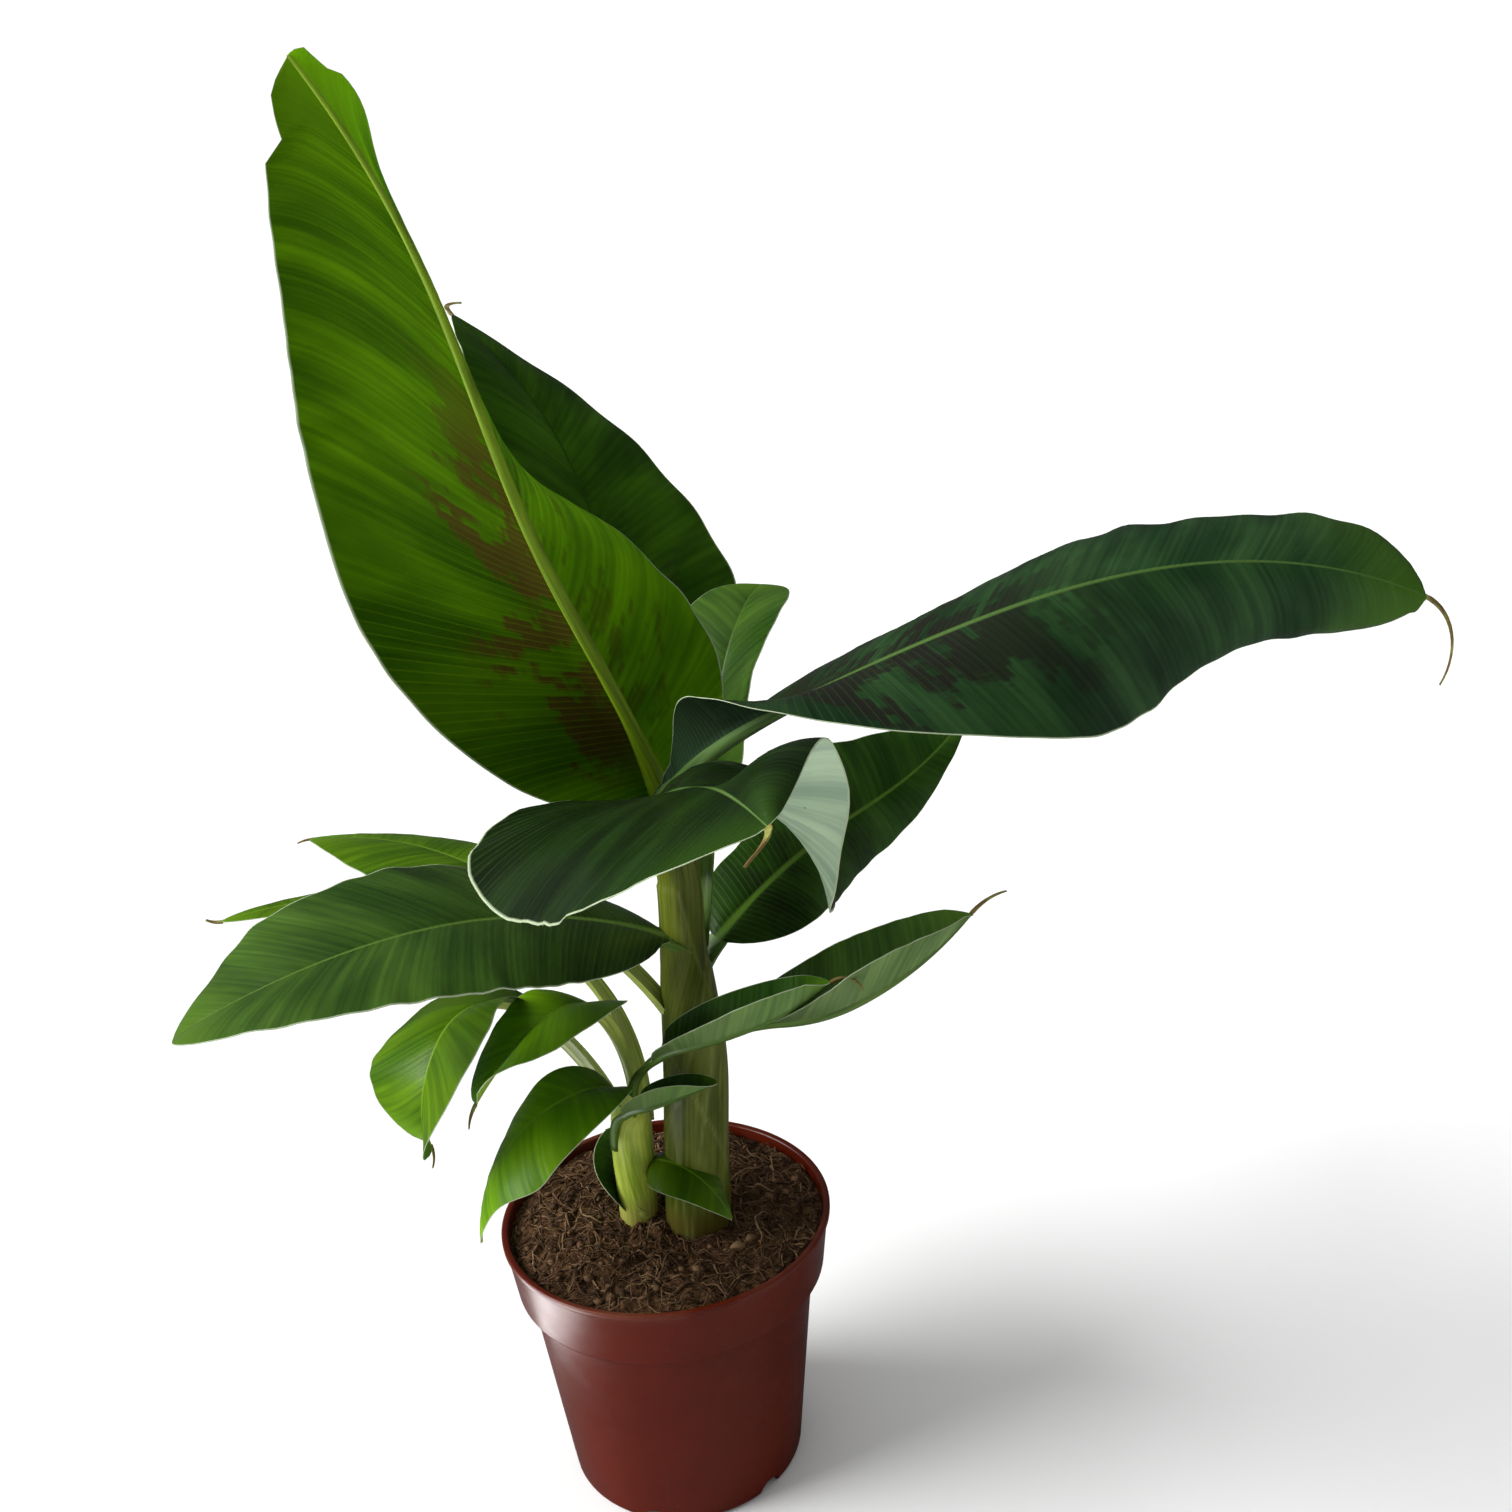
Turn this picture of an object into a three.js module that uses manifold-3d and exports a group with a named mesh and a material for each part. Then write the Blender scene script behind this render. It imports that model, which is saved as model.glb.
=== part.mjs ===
// A young banana plant with a sucker, in a round plastic nursery pot filled with coconut fibre.
// Millimetres, +Z up. The origin is the middle of the pot's underside. +X is to the right and +Y to the back.
import * as THREE from 'three';
import Module from 'manifold-3d';

const wasm = await Module();
wasm.setup();

// Gap kept between neighbouring solids.
const SEAT_GAP = 0.3;
const LEAF_GAP = 0.6;
// Edges shorter than this are closed up after a cut.
const SLIVER = 0.06;

// Pot: a collar with a rolled lip over a tapered body, with arched drain notches around the foot.
const POT_HEIGHT = 104;
const RIM_RADIUS = 60;
const LIP_HEIGHT = 2.6;
const LIP_PROUD = 0.9;
const COLLAR_HEIGHT = 25;
const COLLAR_FOOT_RADIUS = 56.5;
const BODY_TOP_RADIUS = 52.3;
const STEP_RISE = 2.2;
const BASE_RADIUS = 43.4;
const FOOT_CHAMFER = 1.4;
const POT_WALL = 1.5;
const POT_SIDES = 36;
const NOTCH_COUNT = 6;
const NOTCH_RADIUS = 5;
const NOTCH_DEPTH = 7;
const NOTCH_TURN = 15;

// Soil: filled almost to the rim and heaped a little towards the stems.
const SOIL_EDGE_HEIGHT = 101;
const SOIL_HEAP = 2;
const SOIL_RIPPLE = 0.5;
const SOIL_RINGS = 6;

// Stems as [x, y, z, radius] from below the soil to the crown.
const PSEUDOSTEM = [
  [11, -5, 88, 11.6], [12.5, -5, 112, 11.5], [13.6, -5, 131, 11.2], [16, -5, 167, 11],
  [16, -5, 191, 9.6], [15.6, -5, 214, 8], [16, -5, 236, 7.7], [13.6, -5, 256, 7], [12.6, -5, 263, 4.5],
];
const SUCKER_STEM = [
  [-10, -1, 88, 6.3], [-9.6, -1, 110, 6.8], [-9, -1, 130, 7.6], [-8.8, -1, 145, 7.4], [-8.8, -1, 151, 4.5],
];
const STEM_SIDES = 16;

// Leaf sections: points across one half, rings along the petiole, the blade and the tail.
const HALF_STEPS = 3;
const PETIOLE_RINGS = 3;
const FEWEST_BLADE_RINGS = 6;
const BLADE_RING_SPACING = 28;
const TAIL_RINGS = 3;
const TAIL_RADIUS = 0.8;
const RISE_TO_BELLY = 0.55;
const SWEEP = 0.1;
const BLADE_GAUGE = 0.0105;
const LEAST_GAUGE = 0.7;
const MARGIN_THINNING = 0.5;
const TIP_GAUGE = 0.4;
const TIP_TAPER = 0.2;
// A half narrower than this is folded and curled less, and the tail's thread not at all.
const FULL_FOLD_WIDTH = 8;
const LEAST_CURL = 0.001;
// Share of a hanging half's slope that the rib's side takes, so that the two sides of a rib don't meet below it.
const RIB_TILT = 0.3;
const TIP_RIB_RADIUS = 0.7;

// Each leaf: where its petiole starts inside a stem, petiole and blade lengths, the petiole's half-width and,
// in degrees, heading and rise at the foot, the blade's base, its middle and its tip. roll turns the blade about
// its midrib. half_widths, folds, curls and swells are for its left and right halves, seen from the foot with the
// upper side up. A fold lifts a half at the midrib, a curl turns it on towards its margin and a swell widens or
// narrows it, each at even steps from base to tip. belly is the place of the widest point, and tail is the dry
// thread on the tip as length, heading and rise.
const LEAVES = {
  leaf_right_long: {
    foot: [10, -8, 254], petiole: 17, blade: 274, rib: 3.8,
    heading: [17, -49, 2, 14], rise: [91, 44, 16, -27], roll: [-30, 16, 40],
    half_widths: [48, 37], belly: 0.61,
    folds: [[68, -4, 7], [100, -34, -35]], curls: [[-26, -38, -34], [-28, -38, -98]],
    swells: [[1, 0.97, 0.9, 1.11, 0.8, 1.1], [0.91, 0.94, 0.97, 1.25, 0.91, 0.95]],
    tail: [34, 14, -125],
  },
  leaf_tall: {
    foot: [14, 1, 251], petiole: 16, blade: 257, rib: 4.2,
    heading: [202, 238, 142, 166], rise: [93, 69, 69, 55], roll: [58, 62, 58],
    half_widths: [63, 68], belly: 0.48,
    folds: [[10, 52, 150, 150, 107], [0, -23, -7]], curls: [[-69, 59, 37, 60, -7], [-24, -54, -27]],
    swells: [[1.15, 0.92, 0.97, 0.96, 0.95, 1.05], [1.06, 0.97, 0.97, 1, 0.97, 1]],
  },
  leaf_back_left: {
    foot: [17, 5, 235], petiole: 26, blade: 216, rib: 3.8,
    heading: [118, 104, 113, 160], rise: [90, 43, 52, 41], roll: [30, 20, 13],
    half_widths: [48, 55], belly: 0.43,
    folds: [[35, 20, 10], [23, 11, 8]], curls: [[-20, -20, -20], [-29, -26, -20]],
    swells: [[1, 1, 1, 1, 1.12, 1.35], [1.07, 0.87, 1.05, 1, 1.03, 1]],
    tail: [14, 0, -10],
  },
  leaf_back_right: {
    foot: [17, -1, 187], petiole: 26, blade: 168, rib: 3.6,
    heading: [11, 36, 50, 48], rise: [93, 35, 3, 28], roll: [9, 42, 12],
    half_widths: [39, 27], belly: 0.29,
    folds: [[12, 6, 28], [8, -24, 22]], curls: [[-41, -26, -3], [-46, -48, -56]],
    swells: [[1, 0.57, 1, 1, 1.14, 1], [1.04, 0.86, 0.97, 1.07, 0.93, 0.94]],
  },
  leaf_back_small: {
    foot: [21, 0, 209], petiole: 45, blade: 92, rib: 2.8,
    heading: [66, 63, 59, 67], rise: [70, 72, 63, 4], roll: [-2, -14, 0],
    half_widths: [25, 25], belly: 0.5,
    folds: [[25, 20, 13], [26, 23, 14]], curls: [[-10, -10, -14], [-9, -2, -26]],
  },
  leaf_front: {
    foot: [8, -10, 256], petiole: 15, blade: 148, rib: 3.6,
    heading: [-59, -73, -76, -74], rise: [90, 32, 20, 3], roll: [13, -1, 33],
    half_widths: [47, 67], belly: 0.46,
    folds: [[49, 69, -11, 41, 67], [27, -10, 16]], curls: [[-95, -175, -78, -66, -170], [0, -36, -5]],
    swells: [[1, 0.61, 1.3, 0.93, 0.8, 0.6], [1, 1.11, 1, 0.92, 1.05, 1]],
    tail: [14, -190, -60],
  },
  leaf_left_long: {
    foot: [19, -7, 206], petiole: 18, blade: 165, rib: 3.6,
    heading: [231, 197, 215, 194], rise: [83, 29, 7, -26], roll: [-6, -4, 7],
    half_widths: [41, 43], belly: 0.5,
    folds: [[-1, 6, 12], [6, 14, 12]], curls: [[-33, -20, -16], [-32, -19, -18]],
    swells: [[1, 1, 1, 1, 1, 1], [1, 1, 1, 0.92, 1.07, 1]],
  },
  leaf_left_upper: {
    foot: [15, -8, 178], petiole: 55, blade: 138, rib: 3,
    heading: [164, 151, 137, 159], rise: [65, 27, 0, -7], roll: [2, 7, 14],
    half_widths: [28, 28], belly: 0.47,
    folds: [[20, 4, 8], [21, 4, 5]], curls: [[-20, -26, -13], [-19, -26, -15]],
    tail: [8, 165, -30],
  },
  leaf_right_low: {
    foot: [15, -2, 156], petiole: 36, blade: 92, rib: 3,
    heading: [12, -25, 12, 32], rise: [98, 14, 21, 34], roll: [17, -6, -13],
    half_widths: [23, 22], belly: 0.49,
    folds: [[61, 45, 30], [41, 56, 39]], curls: [[-9, -5, -10], [-26, -9, -11]],
    tail: [16, 20, 0],
  },
  leaf_sucker_back: {
    foot: [-4, 1, 140], petiole: 69, blade: 132, rib: 2.8,
    heading: [120, 165, 174, 180], rise: [96, 45, 4, -14], roll: [0, 0, 0],
    half_widths: [20, 20], belly: 0.5,
    folds: [[20, 5, 3], [20, 5, 3]], curls: [[-20, -25, -17], [-20, -25, -17]],
    swells: [[1, 1, 0.85, 0.6, 0.5, 0.5], [1, 1, 0.85, 0.6, 0.5, 0.5]],
    tail: [6, 180, 30],
  },
  leaf_sucker_outer: {
    foot: [-10, -1, 141], petiole: 54, blade: 82, rib: 3.4,
    heading: [162, 184, 243, 231], rise: [73, 40, -25, -108], roll: [14, 19, 20],
    half_widths: [26, 34], belly: 0.51,
    folds: [[23, 10, 29], [18, 5, 19]], curls: [[-7, -12, 7], [-12, -20, -1]],
    tail: [9, 200, -70],
  },
  leaf_sucker_inner: {
    foot: [-6, -2, 144], petiole: 50, blade: 62, rib: 2.6,
    heading: [164, 229, 213, 232], rise: [98, 53, -25, -38], roll: [6, 8, 32],
    half_widths: [29, 20], belly: 0.48,
    folds: [[20, 12, 23], [20, 11, 10]], curls: [[-16, -9, 5], [-18, -16, -12]],
    tail: [9, 220, -85],
  },
  leaf_sucker_front: {
    foot: [-7, -3, 128], petiole: 35, blade: 88, rib: 2.4,
    heading: [240, 238, 203, 208], rise: [104, 45, -35, -88], roll: [-6, -4, 20],
    half_widths: [20, 16], belly: 0.41,
    folds: [[35, -2, 7], [37, 1, -3]], curls: [[-17, -30, -14], [-12, -36, -22]],
    swells: [[1, 1, 1, 1.15, 0.84, 1], [1, 1, 0.93, 1, 1, 1]],
  },
  leaf_sucker_narrow: {
    foot: [-15, -5, 134], petiole: 26, blade: 37, rib: 1.5,
    heading: [-75, -52, 0, 7], rise: [87, 33, 18, 18], roll: [-2, -3, 2],
    half_widths: [8, 8], belly: 0.48,
    folds: [[66, 66, 60], [70, 70, 59]], curls: [[-5, -5, -5], [-2, -3, -6]],
  },
  leaf_right_narrow: {
    foot: [-8, -5, 138], petiole: 47, blade: 69, rib: 1.8,
    heading: [-70, -43, 1, 9], rise: [100, 34, 17, 36], roll: [15, -3, -11],
    half_widths: [14, 14], belly: 0.5,
    folds: [[60, 60, 50], [52, 65, 56]], curls: [[-10, -10, -10], [-30, -17, -13]],
    tail: [14, -10, -75],
  },
  leaf_soil_front: {
    foot: [-7, -5, 104], petiole: 23, blade: 48, rib: 1.5,
    heading: [266, -26, -31, -26], rise: [69, 50, -17, -69], roll: [20, 6, -20],
    half_widths: [12, 12], belly: 0.43,
    folds: [[3, 3, -7], [-8, 0, 4]], curls: [[-35, -24, -26], [-42, -29, -17]],
  },
  leaf_soil_left: {
    foot: [-14, -1, 95], petiole: 7, blade: 33, rib: 1.5,
    heading: [151, 135, 108, 116], rise: [77, 83, 64, 72], roll: [68, 52, 42],
    half_widths: [11, 11], belly: 0.51,
    folds: [[10, -2, -7], [5, 0, 0]], curls: [[-6, -13, -17], [-10, -10, -10]],
  },
};

// Value at place q of a smooth run through evenly spaced keys.
function keyed(keys, q) {
  const last = keys.length - 1;
  const place = Math.min(Math.max(q, 0), last);
  const i = Math.min(Math.floor(place), last - 1);
  const t = place - i;
  const b = keys[i];
  const c = keys[i + 1];
  const a = i > 0 ? keys[i - 1] : 2 * b - c;
  const d = i + 2 <= last ? keys[i + 2] : 2 * c - b;
  return 0.5 * (2 * b + (c - a) * t + (2 * a - 5 * b + 4 * c - d) * t * t + (3 * b - a - 3 * c + d) * t * t * t);
}

// Value at v from base 0 to tip 1 of keys spread evenly along the blade.
function spread(keys, v) {
  return keyed(keys, (keys.length - 1) * v);
}

// Half-width of a blade at v from base 0 to tip 1, as a share of its widest.
function outline(v, belly) {
  const fallToTip = RISE_TO_BELLY * (1 - belly) / belly;
  const shape = (x) => Math.pow(x, RISE_TO_BELLY) * Math.pow(1 - x, fallToTip);
  return shape(Math.min(Math.max(v, 0), 1)) / shape(belly);
}

// Unit vectors along, left and up for a heading, a rise and a roll in degrees.
function frameAt(heading, rise, roll) {
  const h = THREE.MathUtils.degToRad(heading);
  const r = THREE.MathUtils.degToRad(rise);
  const along = new THREE.Vector3(Math.cos(r) * Math.cos(h), Math.cos(r) * Math.sin(h), Math.sin(r));
  const left = new THREE.Vector3(-Math.sin(h), Math.cos(h), 0);
  const up = along.clone().cross(left);
  const turn = THREE.MathUtils.degToRad(roll);
  left.applyAxisAngle(along, turn);
  up.applyAxisAngle(along, turn);
  return { along, left, up };
}

// Stations along a leaf's midrib: position, frame and how far along the blade each one lies.
function stationsOf(leaf) {
  const tail = leaf.tail ?? [0, 0, 0];
  const stops = [];
  for (let i = 0; i < PETIOLE_RINGS; i += 1) {
    stops.push(leaf.petiole * i / PETIOLE_RINGS);
  }
  const bladeRings = Math.round(FEWEST_BLADE_RINGS + leaf.blade / BLADE_RING_SPACING);
  for (let i = 0; i <= bladeRings; i += 1) {
    const even = i / bladeRings;
    const crowdedAtEnds = 0.5 - 0.5 * Math.cos(Math.PI * even);
    stops.push(leaf.petiole + leaf.blade * (0.55 * even + 0.45 * crowdedAtEnds));
  }
  for (let i = 1; i <= TAIL_RINGS && tail[0] > 0; i += 1) {
    stops.push(leaf.petiole + leaf.blade + tail[0] * i / TAIL_RINGS);
  }
  const directionAt = (s) => {
    const v = (s - leaf.petiole) / leaf.blade;
    const q = v < 0 ? s / leaf.petiole : 1 + 2 * Math.min(v, 1);
    const past = tail[0] > 0 ? Math.max(s - leaf.petiole - leaf.blade, 0) / tail[0] : 0;
    const heading = THREE.MathUtils.lerp(keyed(leaf.heading, q), tail[1], past);
    const rise = THREE.MathUtils.lerp(keyed(leaf.rise, q), tail[2], past);
    return frameAt(heading, rise, keyed(leaf.roll, 2 * v));
  };
  const place = new THREE.Vector3(...leaf.foot);
  const fineSteps = 6;
  return stops.map((s, i) => {
    for (let k = 0; i > 0 && k < fineSteps; k += 1) {
      const step = (s - stops[i - 1]) / fineSteps;
      place.addScaledVector(directionAt(stops[i - 1] + (k + 0.5) * step).along, step);
    }
    return { s, v: (s - leaf.petiole) / leaf.blade, place: place.clone(), frame: directionAt(s) };
  });
}

// Half-width of one side at a station: a rounded petiole, the blade, then a thread.
function halfWidth(leaf, side, v, ribRadius) {
  if (v <= 0) {
    return ribRadius;
  }
  const swell = leaf.swells ? spread(leaf.swells[side], v) : 1;
  return Math.max(leaf.half_widths[side] * swell * outline(v, leaf.belly), ribRadius);
}

// One ring of a leaf: the upper skin from the left margin to the right, then the lower skin back.
function leafRing(leaf, station, grow) {
  const { v, place, frame } = station;
  const gauge = Math.max(leaf.blade * BLADE_GAUGE, LEAST_GAUGE);
  const ribRadius = v > 1 ? TAIL_RADIUS : THREE.MathUtils.lerp(leaf.rib, TIP_RIB_RADIUS, Math.max(v, 0));
  const upper = [];
  const lower = [];
  for (let j = -HALF_STEPS; j <= HALF_STEPS; j += 1) {
    const side = j < 0 ? 0 : 1;
    const sign = side === 0 ? 1 : -1;
    const width = halfWidth(leaf, side, v, ribRadius);
    const ribShare = Math.min(0.7 * ribRadius / width, 0.35);
    const step = Math.abs(j);
    const u = step === 0 ? 0 : ribShare + (1 - ribShare) * (step - 1) / (HALF_STEPS - 1);
    const ease = v > 1 ? 0 : Math.min(width / FULL_FOLD_WIDTH, 1);
    const fold = ease * THREE.MathUtils.degToRad(spread(leaf.folds[side], v));
    const curlKey = ease * THREE.MathUtils.degToRad(spread(leaf.curls[side], v));
    const curl = Math.abs(curlKey) < LEAST_CURL ? LEAST_CURL : curlKey;
    const angle = fold + curl * u;
    const across = width * (Math.sin(angle) - Math.sin(fold)) / curl;
    const lift = width * (Math.cos(fold) - Math.cos(angle)) / curl;
    const skin = place.clone()
      .addScaledVector(frame.left, sign * across)
      .addScaledVector(frame.up, lift)
      .addScaledVector(frame.along, v > 0 && v < 1 ? SWEEP * width * u * u : 0);
    const normal = frame.up.clone();
    if (step > 0) {
      const tilt = step === 1 && angle < 0 ? RIB_TILT * angle : angle;
      normal.multiplyScalar(Math.cos(tilt)).addScaledVector(frame.left, -sign * Math.sin(tilt));
    }
    const ribPlace = Math.min(u * width / ribRadius, 1);
    const ribDepth = 1.5 * ribRadius * Math.sqrt(1 - ribPlace * ribPlace);
    const thinnedDepth = Math.min(gauge * (1 - MARGIN_THINNING * u), TIP_GAUGE + TIP_TAPER * width);
    const bladeDepth = v > 1 ? TIP_GAUGE : thinnedDepth;
    const edgeGrow = step === HALF_STEPS ? grow : 0;
    skin.addScaledVector(frame.left, sign * Math.cos(angle) * edgeGrow);
    skin.addScaledVector(frame.up, Math.sin(angle) * edgeGrow);
    upper.push(skin.clone().addScaledVector(normal, grow));
    lower.push(skin.clone().addScaledVector(normal, -(bladeDepth + ribDepth + grow)));
  }
  return upper.concat(lower.reverse());
}

// Closed solid through rings of equal count. Each ring runs out along one side and back along the other, and the
// way back is split along the same diagonals, so that two close sides of a thin solid never cross.
function loft(rings) {
  const count = rings[0].length;
  const positions = rings.flat().flatMap((p) => [p.x, p.y, p.z]);
  const triangles = [];
  for (let i = 0; i + 1 < rings.length; i += 1) {
    for (let j = 0; j < count; j += 1) {
      const a = i * count + j;
      const b = i * count + (j + 1) % count;
      if (j < count / 2) {
        triangles.push(a, a + count, b, b, a + count, b + count);
      } else {
        triangles.push(a, a + count, b + count, a, b + count, b);
      }
    }
  }
  const lastStart = (rings.length - 1) * count;
  for (let j = 0; j + 1 < count / 2; j += 1) {
    const far = count - 1 - j;
    triangles.push(j, j + 1, far, j + 1, far - 1, far);
    triangles.push(lastStart + j, lastStart + far, lastStart + j + 1);
    triangles.push(lastStart + j + 1, lastStart + far, lastStart + far - 1);
  }
  return solidFrom(positions, triangles);
}

// Solid from shared vertices, turned outwards where its faces point in.
function solidFrom(positions, triangles) {
  const make = (order) => new wasm.Manifold(new wasm.Mesh({
    numProp: 3,
    vertProperties: new Float32Array(positions),
    triVerts: new Uint32Array(order),
  }));
  const solid = make(triangles);
  if (solid.volume() > 0) {
    return solid;
  }
  const turned = [];
  for (let i = 0; i < triangles.length; i += 3) {
    turned.push(triangles[i], triangles[i + 2], triangles[i + 1]);
  }
  return make(turned);
}

// Solid of a profile of [radius, height] points that starts and ends on the Z axis.
function turnedSolid(profile, sides, heightAt = (x, y, z) => z) {
  const positions = [];
  const triangles = [];
  const starts = profile.map(([radius, height]) => {
    const start = positions.length / 3;
    const copies = radius === 0 ? 1 : sides;
    for (let k = 0; k < copies; k += 1) {
      const turn = 2 * Math.PI * k / sides;
      const x = radius * Math.cos(turn);
      const y = radius * Math.sin(turn);
      positions.push(x, y, heightAt(x, y, height));
    }
    return start;
  });
  for (let i = 0; i + 1 < profile.length; i += 1) {
    for (let k = 0; k < sides; k += 1) {
      const here = profile[i][0] === 0 ? [starts[i], starts[i]] : [starts[i] + k, starts[i] + (k + 1) % sides];
      const next = profile[i + 1][0] === 0
        ? [starts[i + 1], starts[i + 1]]
        : [starts[i + 1] + k, starts[i + 1] + (k + 1) % sides];
      if (here[0] !== here[1]) {
        triangles.push(here[0], here[1], next[0]);
      }
      if (next[0] !== next[1]) {
        triangles.push(here[1], next[1], next[0]);
      }
    }
  }
  return solidFrom(positions, triangles);
}

// Outer radius of the pot's wall at a height.
function potRadius(z) {
  const bodyTop = POT_HEIGHT - COLLAR_HEIGHT;
  if (z <= bodyTop) {
    return THREE.MathUtils.mapLinear(z, 0, bodyTop, BASE_RADIUS, BODY_TOP_RADIUS);
  }
  const collarFoot = bodyTop + STEP_RISE;
  if (z < collarFoot) {
    return THREE.MathUtils.mapLinear(z, bodyTop, collarFoot, BODY_TOP_RADIUS, COLLAR_FOOT_RADIUS);
  }
  return THREE.MathUtils.mapLinear(z, collarFoot, POT_HEIGHT, COLLAR_FOOT_RADIUS, RIM_RADIUS - LIP_PROUD);
}

// Pot's wall, base and lip in one piece, with the drain notches cut through the foot.
function potSolid() {
  const bodyTop = POT_HEIGHT - COLLAR_HEIGHT;
  const collarFoot = bodyTop + STEP_RISE;
  const lipFoot = POT_HEIGHT - LIP_HEIGHT;
  const outside = [FOOT_CHAMFER, bodyTop, collarFoot, lipFoot].map((z) => [potRadius(z), z]);
  const lip = [
    [RIM_RADIUS, lipFoot + LIP_PROUD],
    [RIM_RADIUS, POT_HEIGHT - LIP_PROUD],
    [RIM_RADIUS - LIP_PROUD, POT_HEIGHT],
    [RIM_RADIUS - LIP_PROUD - POT_WALL, POT_HEIGHT],
  ];
  const inside = [
    [potRadius(lipFoot) - POT_WALL, lipFoot],
    [COLLAR_FOOT_RADIUS - POT_WALL, collarFoot + POT_WALL],
    [BODY_TOP_RADIUS - POT_WALL, bodyTop + POT_WALL],
    [BASE_RADIUS - POT_WALL, POT_WALL],
  ];
  const body = turnedSolid(
    [[0, 0], [BASE_RADIUS - FOOT_CHAMFER, 0], ...outside, ...lip, ...inside, [0, POT_WALL]],
    POT_SIDES,
  );
  return tidied(drainNotches().reduce((pot, notch) => pot.subtract(notch), body));
}

// Arched cutters that lie on the ground plane across the foot's edge.
function drainNotches() {
  const notches = [];
  for (let k = 0; k < NOTCH_COUNT; k += 1) {
    const arch = new THREE.CylinderGeometry(NOTCH_RADIUS, NOTCH_RADIUS, 2 * NOTCH_DEPTH, 16);
    const turn = THREE.MathUtils.degToRad(NOTCH_TURN) + 2 * Math.PI * k / NOTCH_COUNT;
    arch.translate(0, BASE_RADIUS, 0);
    arch.rotateZ(turn - Math.PI / 2);
    notches.push(solidOfGeometry(arch));
  }
  return notches;
}

// Solid of a closed three.js geometry, joined at its seams.
function solidOfGeometry(geometry) {
  const seen = new Map();
  const positions = [];
  const source = geometry.getAttribute('position');
  const shared = Array.from({ length: source.count }, (_, i) => {
    const corner = [source.getX(i), source.getY(i), source.getZ(i)];
    const key = corner.map((value) => Math.round(value * 1e4)).join(' ');
    if (!seen.has(key)) {
      seen.set(key, positions.length / 3);
      positions.push(...corner);
    }
    return seen.get(key);
  });
  const corners = Array.from(geometry.getIndex().array, (i) => shared[i]);
  const triangles = [];
  for (let i = 0; i < corners.length; i += 3) {
    const [a, b, c] = corners.slice(i, i + 3);
    if (a !== b && b !== c && c !== a) {
      triangles.push(a, b, c);
    }
  }
  return solidFrom(positions, triangles);
}

// Soil that fills the pot, with a gently uneven, heaped top.
function soilSolid() {
  const bodyTop = POT_HEIGHT - COLLAR_HEIGHT;
  const collarFoot = bodyTop + STEP_RISE;
  const clear = POT_WALL + SEAT_GAP;
  const edge = potRadius(SOIL_EDGE_HEIGHT) - clear;
  const walls = [
    [BASE_RADIUS - clear, clear],
    [BODY_TOP_RADIUS - clear, bodyTop + clear],
    [COLLAR_FOOT_RADIUS - clear, collarFoot + clear],
    [edge, SOIL_EDGE_HEIGHT],
  ];
  const top = [];
  for (let i = 1; i <= SOIL_RINGS; i += 1) {
    const share = 1 - i / SOIL_RINGS;
    top.push([edge * share, SOIL_EDGE_HEIGHT + SOIL_HEAP * (1 - share * share)]);
  }
  const uneven = (x, y, z) => {
    const inward = Math.max(z - SOIL_EDGE_HEIGHT, 0) / SOIL_HEAP;
    return z + SOIL_RIPPLE * inward * (Math.sin(0.31 * x + 0.8) * Math.cos(0.27 * y) + Math.sin(0.53 * x - 0.41 * y));
  };
  return turnedSolid([[0, clear], ...walls, ...top], POT_SIDES, uneven);
}

// Round stem through [x, y, z, radius] stations.
function stemSolid(stations, grow) {
  const rings = stations.map(([x, y, z, radius], i) => {
    const lift = i === 0 ? -grow : i === stations.length - 1 ? grow : 0;
    return Array.from({ length: STEM_SIDES }, (_, k) => {
      const turn = 2 * Math.PI * k / STEM_SIDES;
      return new THREE.Vector3(
        x + (radius + grow) * Math.cos(turn), y + (radius + grow) * Math.sin(turn), z + lift,
      );
    });
  });
  return loft(rings);
}

// Leaf as the union of its lengths from ring to ring, so that a tightly rolled blade doesn't cross itself.
function leafSolid(leaf, grow) {
  const rings = stationsOf(leaf).map((station) => leafRing(leaf, station, grow));
  return wasm.Manifold.union(rings.slice(1).map((ring, i) => loft([rings[i], ring])));
}

// What is left of a solid after cutting, without the crumbs and slivers that a cut leaves behind.
function tidied(solid) {
  const largest = solid.decompose().reduce((best, piece) => (piece.volume() > best.volume() ? piece : best));
  const { numProp, vertProperties, triVerts } = largest.getMesh();
  return new wasm.Manifold(new wasm.Mesh({ numProp, vertProperties, triVerts })).simplify(SLIVER);
}

// Leaves in order: each is cut free of the stems and of the leaves before it.
function leafSolids(stems) {
  const cutters = stems.map((stations) => stemSolid(stations, SEAT_GAP));
  const solids = {};
  for (const [name, leaf] of Object.entries(LEAVES)) {
    const whole = leafSolid(leaf, 0);
    const cut = cutters.reduce((solid, cutter) => solid.subtract(cutter), whole);
    solids[name] = tidied(cut);
    cutters.push(leafSolid(leaf, LEAF_GAP));
  }
  return solids;
}

function geometryOf(solid) {
  const mesh = solid.getMesh();
  const geometry = new THREE.BufferGeometry();
  const positions = new Float32Array(3 * mesh.numVert);
  for (let i = 0; i < mesh.numVert; i += 1) {
    for (let axis = 0; axis < 3; axis += 1) {
      positions[3 * i + axis] = mesh.vertProperties[i * mesh.numProp + axis];
    }
  }
  geometry.setAttribute('position', new THREE.BufferAttribute(positions, 3));
  geometry.setIndex(Array.from(mesh.triVerts));
  geometry.computeVertexNormals();
  return geometry;
}

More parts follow.
